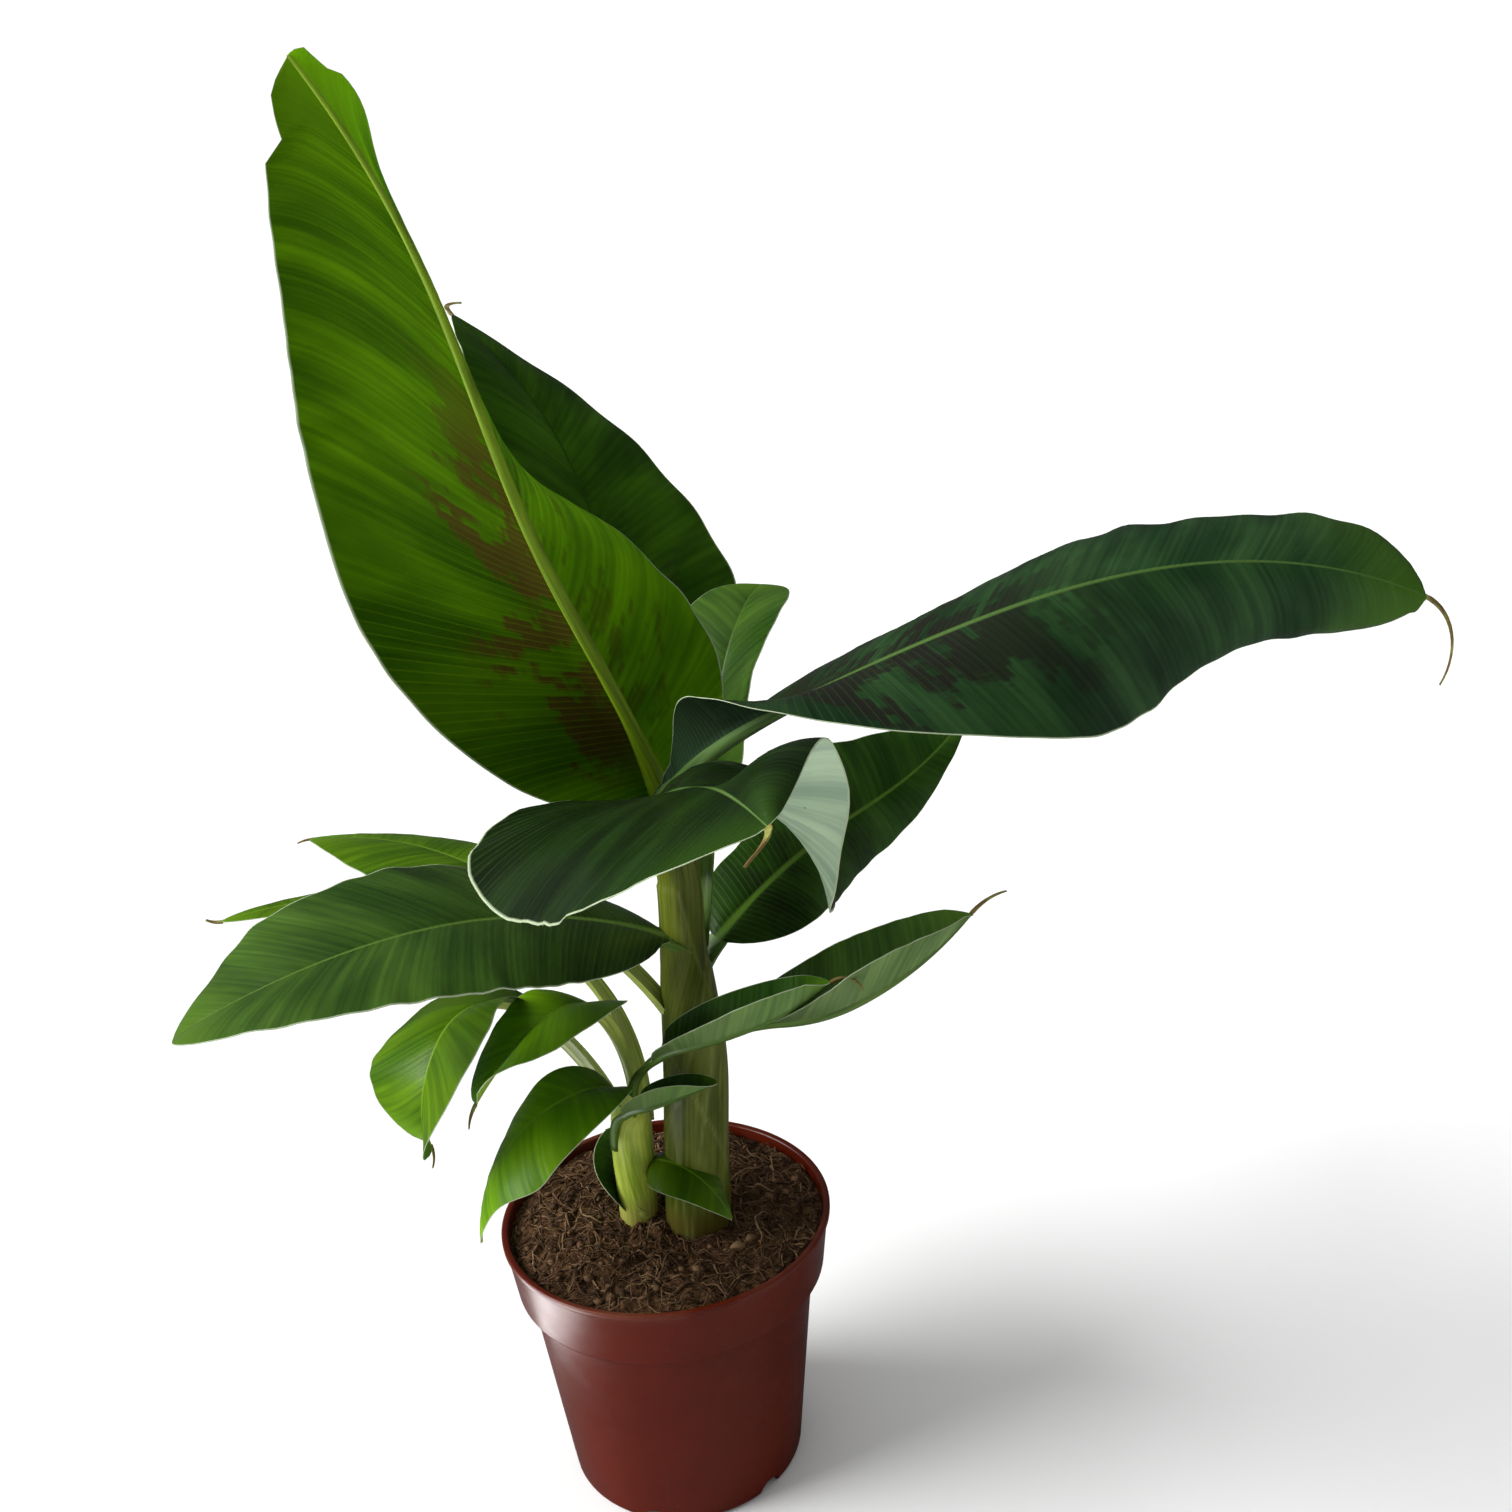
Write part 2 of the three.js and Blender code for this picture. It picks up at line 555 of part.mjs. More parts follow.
const MATERIALS = {
  pot: { color: 0x8a3f2c, roughness: 0.42, metalness: 0 },
  soil: { color: 0x4a3120, roughness: 0.95, metalness: 0 },
  stem: { color: 0x67752f, roughness: 0.5, metalness: 0 },
  sucker: { color: 0x8d9c3d, roughness: 0.5, metalness: 0 },
  leaf: { color: 0x1f4a1c, roughness: 0.42, metalness: 0 },
  leaf_lit: { color: 0x4b7a0d, roughness: 0.42, metalness: 0 },
};

function meshOf(name, solid, look) {
  const mesh = new THREE.Mesh(geometryOf(solid), new THREE.MeshStandardMaterial(MATERIALS[look]));
  mesh.name = name;
  return mesh;
}

const plant = new THREE.Group();
const leaves = leafSolids([PSEUDOSTEM, SUCKER_STEM]);
const buried = [stemSolid(PSEUDOSTEM, SEAT_GAP), stemSolid(SUCKER_STEM, SEAT_GAP)]
  .concat([LEAVES.leaf_soil_left, LEAVES.leaf_soil_front].map((leaf) => leafSolid(leaf, SEAT_GAP)));
const soil = buried.reduce((fill, piece) => fill.subtract(piece), soilSolid());

plant.add(meshOf('pot', potSolid(), 'pot'));
plant.add(meshOf('soil', tidied(soil), 'soil'));
plant.add(meshOf('pseudostem', stemSolid(PSEUDOSTEM, 0), 'stem'));
plant.add(meshOf('sucker_stem', stemSolid(SUCKER_STEM, 0), 'sucker'));
for (const [name, solid] of Object.entries(leaves)) {
  plant.add(meshOf(name, solid, name === 'leaf_tall' ? 'leaf_lit' : 'leaf'));
}

export default plant;
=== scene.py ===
# A young banana plant with a sucker in a round plastic nursery pot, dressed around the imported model.
# Metres in the scene, millimetres in the tables below. +Z up, +X to the right, +Y to the back.
import math
import random

import bmesh
import bpy
import numpy as np
from mathutils import Matrix, Vector, noise


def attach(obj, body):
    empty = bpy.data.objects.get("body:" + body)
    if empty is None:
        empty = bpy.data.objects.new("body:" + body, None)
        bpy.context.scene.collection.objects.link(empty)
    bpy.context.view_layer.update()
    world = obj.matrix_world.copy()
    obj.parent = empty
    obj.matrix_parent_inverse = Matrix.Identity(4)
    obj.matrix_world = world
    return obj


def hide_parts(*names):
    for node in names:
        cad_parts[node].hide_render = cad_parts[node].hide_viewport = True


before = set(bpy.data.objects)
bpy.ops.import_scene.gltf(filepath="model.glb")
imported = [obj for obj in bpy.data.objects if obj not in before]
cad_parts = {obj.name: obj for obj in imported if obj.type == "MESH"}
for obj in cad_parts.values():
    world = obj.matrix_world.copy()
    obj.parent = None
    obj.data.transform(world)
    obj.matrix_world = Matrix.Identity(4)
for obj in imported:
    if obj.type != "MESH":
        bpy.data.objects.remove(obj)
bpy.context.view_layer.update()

MM = 0.001

# Camera: worked out from the ellipses of the pot's rim and collar in the 1512 by 1512 photograph.
PHOTO_SIDE = 1512
FOCAL_PIXELS = 1638
SENSOR_MM = 36
CAMERA_PLACE = (0.045, -0.509, 0.460)
CAMERA_PITCH_DOWN = 19.8
CAMERA_ROLL = -4.2

# Pot, as in the model.
POT_HEIGHT = 104
RIM_RADIUS = 60
LIP_HEIGHT = 2.6
LIP_PROUD = 0.9
COLLAR_HEIGHT = 25
COLLAR_FOOT_RADIUS = 56.5
BODY_TOP_RADIUS = 52.3
STEP_RISE = 2.2
BASE_RADIUS = 43.4
FOOT_CHAMFER = 1.4
POT_WALL = 1.5
NOTCH_COUNT = 6
NOTCH_RADIUS = 5
NOTCH_TURN = 15
NOTCH_CUT = 14
BASE_RISE = 0.8
FOOT_INSIDE = (34, 36.5)
SOIL_EDGE_HEIGHT = 101
SOIL_HEAP = 2

# Stems as [x, y, z, radius], as in the model.
PSEUDOSTEM = [
    [11, -5, 88, 11.6], [12.5, -5, 112, 11.5], [13.6, -5, 131, 11.2], [16, -5, 167, 11],
    [16, -5, 191, 9.6], [15.6, -5, 214, 8], [16, -5, 236, 7.7], [13.6, -5, 256, 7], [12.6, -5, 263, 4.5],
]
SUCKER_STEM = [
    [-10, -1, 88, 6.3], [-9.6, -1, 110, 6.8], [-9, -1, 130, 7.6], [-8.8, -1, 145, 7.4], [-8.8, -1, 151, 4.5],
]

# Leaf rule, as in the model.
RISE_TO_BELLY = 0.55
SWEEP = 0.1
FULL_FOLD_WIDTH = 8
LEAST_CURL = 0.001
TIP_RIB_RADIUS = 0.7

# A leaf's shape values are the model's. look names its colours. blotch is the strength of the dark blotches
# on the left and the right half, and lift is painted light and shade that makes a half lighter or darker.
# A tear is (half, place, depth).
LEAVES = {
    "leaf_right_long": dict(
        foot=[10, -8, 254], petiole=17, blade=274, rib=3.8,
        heading=[17, -49, 2, 14], rise=[91, 44, 16, -27], roll=[-30, 16, 40],
        half_widths=[48, 37], belly=0.61,
        folds=[[68, -4, 7], [100, -34, -35]], curls=[[-26, -38, -34], [-28, -38, -98]],
        swells=[[1, 0.97, 0.9, 1.11, 0.8, 1.1], [0.91, 0.94, 0.97, 1.25, 0.91, 0.95]],
        tail=[34, 14, -125], look="long", blotch=(1.0, 1.0)),
    "leaf_tall": dict(
        foot=[14, 1, 251], petiole=16, blade=257, rib=4.2,
        heading=[202, 238, 142, 166], rise=[93, 69, 69, 55], roll=[58, 62, 58],
        half_widths=[63, 68], belly=0.48,
        folds=[[10, 52, 150, 150, 107], [0, -23, -7]], curls=[[-69, 59, 37, 60, -7], [-24, -54, -27]],
        swells=[[1.15, 0.92, 0.97, 0.96, 0.95, 1.05], [1.06, 0.97, 0.97, 1, 0.97, 1]],
        slant=[0.35, 0.7, 1.2, 1.9, 2.6], tears=[(1, 0.93, 0.3), (0, 0.965, 0.25)], look="lit",
        blotch=(0.5, 1.0), lift=(4.2, 1.05)),
    "leaf_back_left": dict(
        foot=[17, 5, 235], petiole=26, blade=216, rib=3.8,
        heading=[118, 104, 113, 160], rise=[90, 43, 52, 41], roll=[30, 20, 13],
        half_widths=[48, 55], belly=0.43,
        folds=[[35, 20, 10], [23, 11, 8]], curls=[[-20, -20, -20], [-29, -26, -20]],
        swells=[[1, 1, 1, 1, 1.12, 1.35], [1.07, 0.87, 1.05, 1, 1.03, 1]],
        tail=[14, 0, -10], look="back", blotch=(0.35, 0.35)),
    "leaf_back_right": dict(
        foot=[17, -1, 187], petiole=26, blade=168, rib=3.6,
        heading=[11, 36, 50, 48], rise=[93, 35, 3, 28], roll=[9, 42, 12],
        half_widths=[39, 27], belly=0.29,
        folds=[[12, 6, 28], [8, -24, 22]], curls=[[-41, -26, -3], [-46, -48, -56]],
        swells=[[1, 0.57, 1, 1, 1.14, 1], [1.04, 0.86, 0.97, 1.07, 0.93, 0.94]],
        look="mid", blotch=(0.4, 0.4)),
    "leaf_back_small": dict(
        foot=[21, 0, 209], petiole=45, blade=92, rib=2.8,
        heading=[66, 63, 59, 67], rise=[70, 72, 63, 4], roll=[-2, -14, 0],
        half_widths=[25, 25], belly=0.5,
        folds=[[25, 20, 13], [26, 23, 14]], curls=[[-10, -10, -14], [-9, -2, -26]],
        look="soft", blotch=(0.2, 0.2), lift=(1.6, 1.6)),
    "leaf_front": dict(
        foot=[8, -10, 256], petiole=15, blade=148, rib=3.6,
        heading=[-59, -73, -76, -74], rise=[90, 32, 20, 3], roll=[13, -1, 33],
        half_widths=[47, 67], belly=0.46,
        folds=[[49, 69, -11, 41, 67], [27, -10, 16]], curls=[[-95, -175, -78, -66, -170], [0, -36, -5]],
        swells=[[1, 0.61, 1.3, 0.93, 0.8, 0.6], [1, 1.11, 1, 0.92, 1.05, 1]],
        tail=[14, -190, -60], look="deep", blotch=(0.3, 0.3)),
    "leaf_left_long": dict(
        foot=[19, -7, 206], petiole=18, blade=165, rib=3.6,
        heading=[231, 197, 215, 194], rise=[83, 29, 7, -26], roll=[-6, -4, 7],
        half_widths=[41, 43], belly=0.5,
        folds=[[-1, 6, 12], [6, 14, 12]], curls=[[-33, -20, -16], [-32, -19, -18]],
        swells=[[1, 1, 1, 1, 1, 1], [1, 1, 1, 0.92, 1.07, 1]],
        look="soft", blotch=(0.15, 0.15)),
    "leaf_left_upper": dict(
        foot=[15, -8, 178], petiole=55, blade=138, rib=3,
        heading=[164, 151, 137, 159], rise=[65, 27, 0, -7], roll=[2, 7, 14],
        half_widths=[28, 28], belly=0.47,
        folds=[[20, 4, 8], [21, 4, 5]], curls=[[-20, -26, -13], [-19, -26, -15]],
        tail=[8, 165, -30], look="fresh", lift=(1.3, 1.3)),
    "leaf_right_low": dict(
        foot=[15, -2, 156], petiole=36, blade=92, rib=3,
        heading=[12, -25, 12, 32], rise=[98, 14, 21, 34], roll=[17, -6, -13],
        half_widths=[23, 22], belly=0.49,
        folds=[[61, 45, 30], [41, 56, 39]], curls=[[-9, -5, -10], [-26, -9, -11]],
        tail=[16, 20, 0], look="soft"),
    "leaf_sucker_back": dict(
        foot=[-4, 1, 140], petiole=69, blade=132, rib=2.8,
        heading=[120, 165, 174, 180], rise=[96, 45, 4, -14], roll=[0, 0, 0],
        half_widths=[20, 20], belly=0.5,
        folds=[[20, 5, 3], [20, 5, 3]], curls=[[-20, -25, -17], [-20, -25, -17]],
        swells=[[1, 1, 0.85, 0.6, 0.5, 0.5], [1, 1, 0.85, 0.6, 0.5, 0.5]],
        tail=[6, 180, 30], look="fresh"),
    "leaf_sucker_outer": dict(
        foot=[-10, -1, 141], petiole=54, blade=82, rib=3.4,
        heading=[162, 184, 243, 231], rise=[73, 40, -25, -108], roll=[14, 19, 20],
        half_widths=[26, 34], belly=0.51,
        folds=[[23, 10, 29], [18, 5, 19]], curls=[[-7, -12, 7], [-12, -20, -1]],
        tail=[9, 200, -70], look="fresh", lift=(1.3, 1.3)),
    "leaf_sucker_inner": dict(
        foot=[-6, -2, 144], petiole=50, blade=62, rib=2.6,
        heading=[164, 229, 213, 232], rise=[98, 53, -25, -38], roll=[6, 8, 32],
        half_widths=[29, 20], belly=0.48,
        folds=[[20, 12, 23], [20, 11, 10]], curls=[[-16, -9, 5], [-18, -16, -12]],
        tail=[9, 220, -85], look="fresh", lift=(2.4, 2.4)),
    "leaf_sucker_front": dict(
        foot=[-7, -3, 128], petiole=35, blade=88, rib=2.4,
        heading=[240, 238, 203, 208], rise=[104, 45, -35, -88], roll=[-6, -4, 20],
        half_widths=[20, 16], belly=0.41,
        folds=[[35, -2, 7], [37, 1, -3]], curls=[[-17, -30, -14], [-12, -36, -22]],
        swells=[[1, 1, 1, 1.15, 0.84, 1], [1, 1, 0.93, 1, 1, 1]],
        look="fresh", lift=(2.0, 2.0)),
    "leaf_sucker_narrow": dict(
        foot=[-15, -5, 134], petiole=26, blade=37, rib=1.5,
        heading=[-75, -52, 0, 7], rise=[87, 33, 18, 18], roll=[-2, -3, 2],
        half_widths=[8, 8], belly=0.48,
        folds=[[66, 66, 60], [70, 70, 59]], curls=[[-5, -5, -5], [-2, -3, -6]],
        look="mid"),
    "leaf_right_narrow": dict(
        foot=[-8, -5, 138], petiole=47, blade=69, rib=1.8,
        heading=[-70, -43, 1, 9], rise=[100, 34, 17, 36], roll=[15, -3, -11],
        half_widths=[14, 14], belly=0.5,
        folds=[[60, 60, 50], [52, 65, 56]], curls=[[-10, -10, -10], [-30, -17, -13]],
        tail=[14, -10, -75], look="mid"),
    "leaf_soil_front": dict(
        foot=[-7, -5, 104], petiole=23, blade=48, rib=1.5,
        heading=[266, -26, -31, -26], rise=[69, 50, -17, -69], roll=[20, 6, -20],
        half_widths=[12, 12], belly=0.43,
        folds=[[3, 3, -7], [-8, 0, 4]], curls=[[-35, -24, -26], [-42, -29, -17]],
        look="fresh"),
    "leaf_soil_left": dict(
        foot=[-14, -1, 95], petiole=7, blade=33, rib=1.5,
        heading=[151, 135, 108, 116], rise=[77, 83, 64, 72], roll=[68, 52, 42],
        half_widths=[11, 11], belly=0.51,
        folds=[[10, -2, -7], [5, 0, 0]], curls=[[-6, -13, -17], [-10, -10, -10]],
        look="mid"),
}

# Fine leaf meshes.
RING_STEP = 2.4
RIB_STEPS = 3
BLADE_STEPS = 12
LEAF_THICKNESS = 0.4
RIB_DEPTH = 1.1
RIB_GROOVE = 0.35
RIB_NARROWING = 0.4
TAIL_RINGS = 14
TAIL_RADIUS = 0.55
MARGIN_RIPPLE = 0.022
PLEAT_RELIEF = 0.16
PLEAT_SPACING = 7.5
TEAR_LENGTH = 0.05
WALK_STEP = 0.8
TIP_RINGS = (1.2, 0.4)
EDGE_THINNING = 0.35
# How far the veins lean to the tip for each step away from the midrib, from base to tip.
VEIN_SLANT = [0.35, 0.6, 1.0]


def keyed(keys, q):
    """Value at place q of a smooth run through evenly spaced keys."""
    last = len(keys) - 1
    place = min(max(q, 0), last)
    i = min(int(place), last - 1)
    t = place - i
    b, c = keys[i], keys[i + 1]
    a = keys[i - 1] if i > 0 else 2 * b - c
    d = keys[i + 2] if i + 2 <= last else 2 * c - b
    return 0.5 * (
        2 * b + (c - a) * t + (2 * a - 5 * b + 4 * c - d) * t * t + (3 * b - a - 3 * c + d) * t ** 3
    )


def spread(keys, v):
    """Value at v from base 0 to tip 1 of keys spread evenly along the blade."""
    return keyed(keys, (len(keys) - 1) * v)


def outline(v, belly):
    """Half-width of a blade at v from base 0 to tip 1, as a share of its widest."""
    fall = RISE_TO_BELLY * (1 - belly) / belly

    def shape(x):
        return x ** RISE_TO_BELLY * (1 - x) ** fall

    return shape(min(max(v, 0), 1)) / shape(belly)


def turned(vector, axis, angle):
    return Matrix.Rotation(angle, 3, axis) @ vector


def ring_turns(sides, shift=0.0):
    """Angles of a ring's points."""
    return [2 * math.pi * (k + shift) / sides for k in range(sides)]


def bridge(start, sides, turned_over=False):
    """Faces between the ring of points that begins at start and the next ring."""
    pairs = [(start + k, start + (k + 1) % sides) for k in range(sides)]
    if turned_over:
        return [(a, a + sides, b + sides, b) for a, b in pairs]
    return [(a, b, b + sides, a + sides) for a, b in pairs]


def frame_at(heading, rise, roll):
    """Unit vectors along, left and up for a heading, a rise and a roll in degrees."""
    h, r = math.radians(heading), math.radians(rise)
    along = Vector((math.cos(r) * math.cos(h), math.cos(r) * math.sin(h), math.sin(r)))
    left = Vector((-math.sin(h), math.cos(h), 0))
    up = along.cross(left)
    turn = math.radians(roll)
    return along, turned(left, along, turn), turned(up, along, turn)


def leaf_direction(leaf, s):
    """Frame of a leaf at distance s from its foot."""
    petiole, blade = leaf["petiole"], leaf["blade"]
    tail = leaf.get("tail", [0, 0, 0])
    v = (s - petiole) / blade
    q = s / petiole if v < 0 else 1 + 2 * min(v, 1)
    past = max(s - petiole - blade, 0) / tail[0] if tail[0] else 0
    heading = keyed(leaf["heading"], q) * (1 - past) + tail[1] * past
    rise = keyed(leaf["rise"], q) * (1 - past) + tail[2] * past
    return frame_at(heading, rise, keyed(leaf["roll"], 2 * v))


def leaf_stations(leaf):
    """Fine stations along a leaf: distance, v, place and frame."""
    length = leaf["petiole"] + leaf["blade"]
    count = round(length / RING_STEP)
    stops = [length * i / count for i in range(count + 1)]
    near_tip = [length - before_tip for before_tip in TIP_RINGS]
    stops = sorted(set(stops[:-1] + near_tip + [length]))
    tail = leaf.get("tail", [0, 0, 0])[0]
    stops += [length + tail * (i + 1) / TAIL_RINGS for i in range(TAIL_RINGS)] if tail else []
    place = Vector(leaf["foot"])
    stations = []
    before = 0
    for s in stops:
        fine = max(int((s - before) / WALK_STEP), 1)
        for k in range(fine):
            step = (s - before) / fine
            place = place + leaf_direction(leaf, before + (k + 0.5) * step)[0] * step
        stations.append((s, (s - leaf["petiole"]) / leaf["blade"], place.copy(), leaf_direction(leaf, s)))
        before = s
    return stations


def half_width(leaf, side, v, rib):
    """Half-width of one side at v, less what a tear has taken off between its place and the tip."""
    if v <= 0:
        return rib
    width = leaf["half_widths"][side] * outline(v, leaf["belly"])
    if "swells" in leaf:
        width *= spread(leaf["swells"][side], v)
    for torn_side, place, depth in leaf.get("tears", []):
        if torn_side == side and place < v < place + TEAR_LENGTH:
            width *= 1 - depth * (1 - (v - place) / TEAR_LENGTH) ** 0.5
    return max(width, rib)


def waves(seed, count, shortest, longest):
    """A seeded smooth wave of one value: a sum of sines between two wavelengths."""
    rule = random.Random(seed)
    parts = [
        (2 * math.pi / rule.uniform(shortest, longest), rule.uniform(0, 2 * math.pi), rule.uniform(0.4, 1))
        for _ in range(count)
    ]
    size = sum(p[2] for p in parts)
    return lambda x: sum(a * math.sin(k * x + f) for k, f, a in parts) / size


def section_places(width, rib):
    """Distances from the midrib, close together on the rib and at the margin."""
    places = [rib * math.sin(0.5 * math.pi * k / RIB_STEPS) for k in range(RIB_STEPS + 1)]
    reach = max(width, rib + 0.5)
    for k in range(1, BLADE_STEPS + 1):
        share = math.sin(0.5 * math.pi * k / BLADE_STEPS)
        places.append(rib + (reach - rib) * share)
    return places, reach


def leaf_section(leaf, station, ripple, pleats):
    """Points of one ring with their values: upper skin from left to right, then lower skin back."""
    s, v, place, (along, left, up) = station
    if v > 1:
        rib = TAIL_RADIUS * (1.25 - (s - leaf["petiole"] - leaf["blade"]) / leaf["tail"][0])
    else:
        rib = leaf["rib"] + (TIP_RIB_RADIUS - leaf["rib"]) * max(v, 0)
        rib *= 1 - RIB_NARROWING * min(max(v, 0) / 0.12, 1)
    slant = spread(leaf.get("slant", VEIN_SLANT), v)
    rows = []
    for side, sign in ((0, 1), (1, -1)):
        width = half_width(leaf, side, v, rib)
        places, reach = section_places(width, rib)
        ease = 0 if v > 1 else min(width / FULL_FOLD_WIDTH, 1)
        fold = ease * math.radians(spread(leaf["folds"][side], v))
        curl = ease * math.radians(spread(leaf["curls"][side], v))
        curl = LEAST_CURL if abs(curl) < LEAST_CURL else curl
        row = []
        for x in places:
            u = x / reach
            angle = fold + curl * u
            across = reach * (math.sin(angle) - math.sin(fold)) / curl
            lift = reach * (math.cos(fold) - math.cos(angle)) / curl
            skin = place + left * (sign * across) + up * lift
            if 0 < v < 1:
                skin += along * (SWEEP * width * u * u)
            tilt = angle * min(x / rib, 1) ** 2
            normal = up * math.cos(tilt) - left * (sign * math.sin(tilt))
            vein = s - slant * x * (1 - 0.35 * u)
            if 0 < v < 1:
                skin += normal * (MARGIN_RIPPLE * width * u ** 4 * ripple[side](s))
                skin += normal * (PLEAT_RELIEF * pleats(vein) * u * (1 - u) * 4)
            on_rib = max(1 - (x / rib) ** 2, 0)
            skin -= normal * (RIB_GROOVE * rib / 3 * on_rib)
            depth = LEAF_THICKNESS * (1 - EDGE_THINNING * u) + RIB_DEPTH * rib * math.sqrt(on_rib)
            row.append((skin, skin - normal * depth, (vein, sign * x, u, x / rib)))
        rows.append(row)
    line = rows[0][::-1] + rows[1][1:]
    upper = [(p[0], p[2]) for p in line]
    lower = [(p[1], p[2]) for p in line]
    return upper + lower[::-1]


def show(thing):
    bpy.context.scene.collection.objects.link(thing)


def mesh_piece(name, points, faces, slots=None):
    """A mesh object from points in millimetres."""
    mesh = bpy.data.meshes.new(name)
    mesh.from_pydata([tuple(c * MM for c in p) for p in points], [], faces)
    mesh.update()
    if slots is not None:
        mesh.polygons.foreach_set("material_index", slots)
    mesh.polygons.foreach_set("use_smooth", [True] * len(mesh.polygons))
    piece = bpy.data.objects.new(name, mesh)
    show(piece)
    return piece


def set_values(piece, **columns):
    """Store one number a corner point under each name, for the materials to read."""
    for label, values in columns.items():
        layer = piece.data.attributes.new(label, "FLOAT", "POINT")
        layer.data.foreach_set("value", values)


def outward(piece):
    """Turn all faces of a closed piece outwards."""
    work = bmesh.new()
    work.from_mesh(piece.data)
    bmesh.ops.recalc_face_normals(work, faces=work.faces)
    work.to_mesh(piece.data)
    work.free()


UPPER, LOWER, MARGIN, STALK, THREAD = range(5)


def leaf_piece(name, leaf):
    """One leaf: petiole, blade with its midrib, and dry thread at the tip."""
    stations = leaf_stations(leaf)
    ripple = [waves(name + side, 5, 9, 34) for side in ("left", "right")]
    pleats = waves(name + "pleats", 5, 0.6 * PLEAT_SPACING, 1.7 * PLEAT_SPACING)
    rings = [leaf_section(leaf, station, ripple, pleats) for station in stations]
    count = len(rings[0])
    half = count // 2
    rows = [(place, *values, station[1]) for ring, station in zip(rings, stations) for place, values in ring]
    points, vein, across, edge, ribness, along_blade = zip(*rows)
    faces, slots = [], []
    rib_columns = range(half // 2 - RIB_STEPS, half // 2 + RIB_STEPS)
    for i in range(len(rings) - 1):
        v = 0.5 * (stations[i][1] + stations[i + 1][1])
        faces += bridge(i * count, count, turned_over=True)
        for j in range(count):
            if v > 1:
                slots.append(THREAD)
            elif v < 0:
                slots.append(STALK)
            elif j in (half - 1, count - 1):
                slots.append(MARGIN)
            elif j < half - 1:
                slots.append(UPPER)
            else:
                slots.append(STALK if count - 2 - j in rib_columns else LOWER)
    last = (len(rings) - 1) * count
    for j in range(half - 1):
        far = count - 1 - j
        faces.append((j, j + 1, far - 1, far))
        faces.append((last + j, last + far, last + far - 1, last + j + 1))
        slots += [STALK, THREAD]
    piece = mesh_piece(name + "_blade", points, faces, slots)
    halves = [0 if x > 0 else 1 for x in across]
    blotch = [leaf.get("blotch", (0, 0))[side] for side in halves]
    # lift: painted light and shade, each half's colour made lighter or darker
    lift = [leaf.get("lift", (1, 1))[side] for side in halves]
    set_values(piece, vein=vein, across=across, edge=edge, rib=ribness, along=along_blade,
               blotch=blotch, lift=lift)
    outward(piece)
    for material in leaf_materials(leaf["look"]):
        piece.data.materials.append(material)
    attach(piece, "root")
    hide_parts(name)


class Nodes:
    """Short helpers to join shader nodes of one material."""

    def __init__(self, name):
        self.material = bpy.data.materials.new(name)
        self.material.use_nodes = True
        self.tree = self.material.node_tree
        self.tree.nodes.clear()
        self.output = self.tree.nodes.new("ShaderNodeOutputMaterial")

    def add(self, kind, **values):
        node = self.tree.nodes.new("ShaderNode" + kind)
        for key, value in values.items():
            setattr(node, key, value)
        return node

    def fed(self, kind, **inputs):
        """A node whose named inputs get a value or a link."""
        node = self.add(kind)
        for label, value in inputs.items():
            self.put(node.inputs[label], value)
        return node

    def put(self, socket, value):
        if isinstance(value, bpy.types.NodeSocket):
            self.tree.links.new(value, socket)
        else:
            socket.default_value = (*value, 1.0) if isinstance(value, tuple) else value

    def value(self, label):
        return self.add("Attribute", attribute_name=label, attribute_type="GEOMETRY").outputs["Fac"]

    def place(self):
        return self.add("TexCoord").outputs["Object"]

    def math(self, operation, a, b=0.0):
        node = self.add("Math", operation=operation)
        self.put(node.inputs[0], a)
        self.put(node.inputs[1], b)
        return node.outputs[0]

    def times(self, a, b):
        return self.math("MULTIPLY", a, b)

    def plus(self, a, b):
        return self.math("ADD", a, b)

    def step(self, value, low, high, to_low=0.0, to_high=1.0):
        node = self.add("MapRange", interpolation_type="SMOOTHSTEP")
        for socket, part in zip(node.inputs, (value, low, high, to_low, to_high)):
            self.put(socket, part)
        return node.outputs[0]

    def mix(self, share, a, b, blend="MIX"):
        node = self.add("Mix", data_type="RGBA", blend_type=blend)
        self.put(node.inputs[0], share)
        self.put(node.inputs[6], a)
        self.put(node.inputs[7], b)
        return node.outputs[2]

    def tint(self, colour, by):
        return self.mix(1.0, colour, by, "MULTIPLY")

    def vector(self, x, y, z):
        return self.fed("CombineXYZ", X=x, Y=y, Z=z).outputs[0]

    def noise(self, vector, scale, detail=3.0, roughness=0.5):
        return self.fed("TexNoise", Vector=vector, Scale=scale, Detail=detail, Roughness=roughness).outputs[0]

    def pattern(self, a, by_a, b, by_b, seed, detail, roughness=0.5):
        """Noise over two values, each with its own scale."""
        place = self.vector(self.times(a, by_a), self.times(b, by_b), seed)
        return self.noise(place, 1.0, detail, roughness)

    def bump(self, height, distance, strength=1.0):
        return self.fed("Bump", Strength=strength, Distance=distance, Height=height).outputs["Normal"]

    def finish(self, colour, roughness, normal=None, specular=0.4, glow=None, glow_share=0.0):
        shader = self.fed("BsdfPrincipled", **{
            "Base Color": colour, "Roughness": roughness, "Specular IOR Level": specular})
        if normal is not None:
            self.put(shader.inputs["Normal"], normal)
        surface = shader.outputs[0]
        if glow is not None:
            through = self.fed("BsdfTranslucent", Color=glow)
            blend = self.add("MixShader")
            blend.inputs[0].default_value = glow_share
            self.put(blend.inputs[1], surface)
            self.put(blend.inputs[2], through.outputs[0])
            surface = blend.outputs[0]
        self.tree.links.new(surface, self.output.inputs["Surface"])
        return self.material


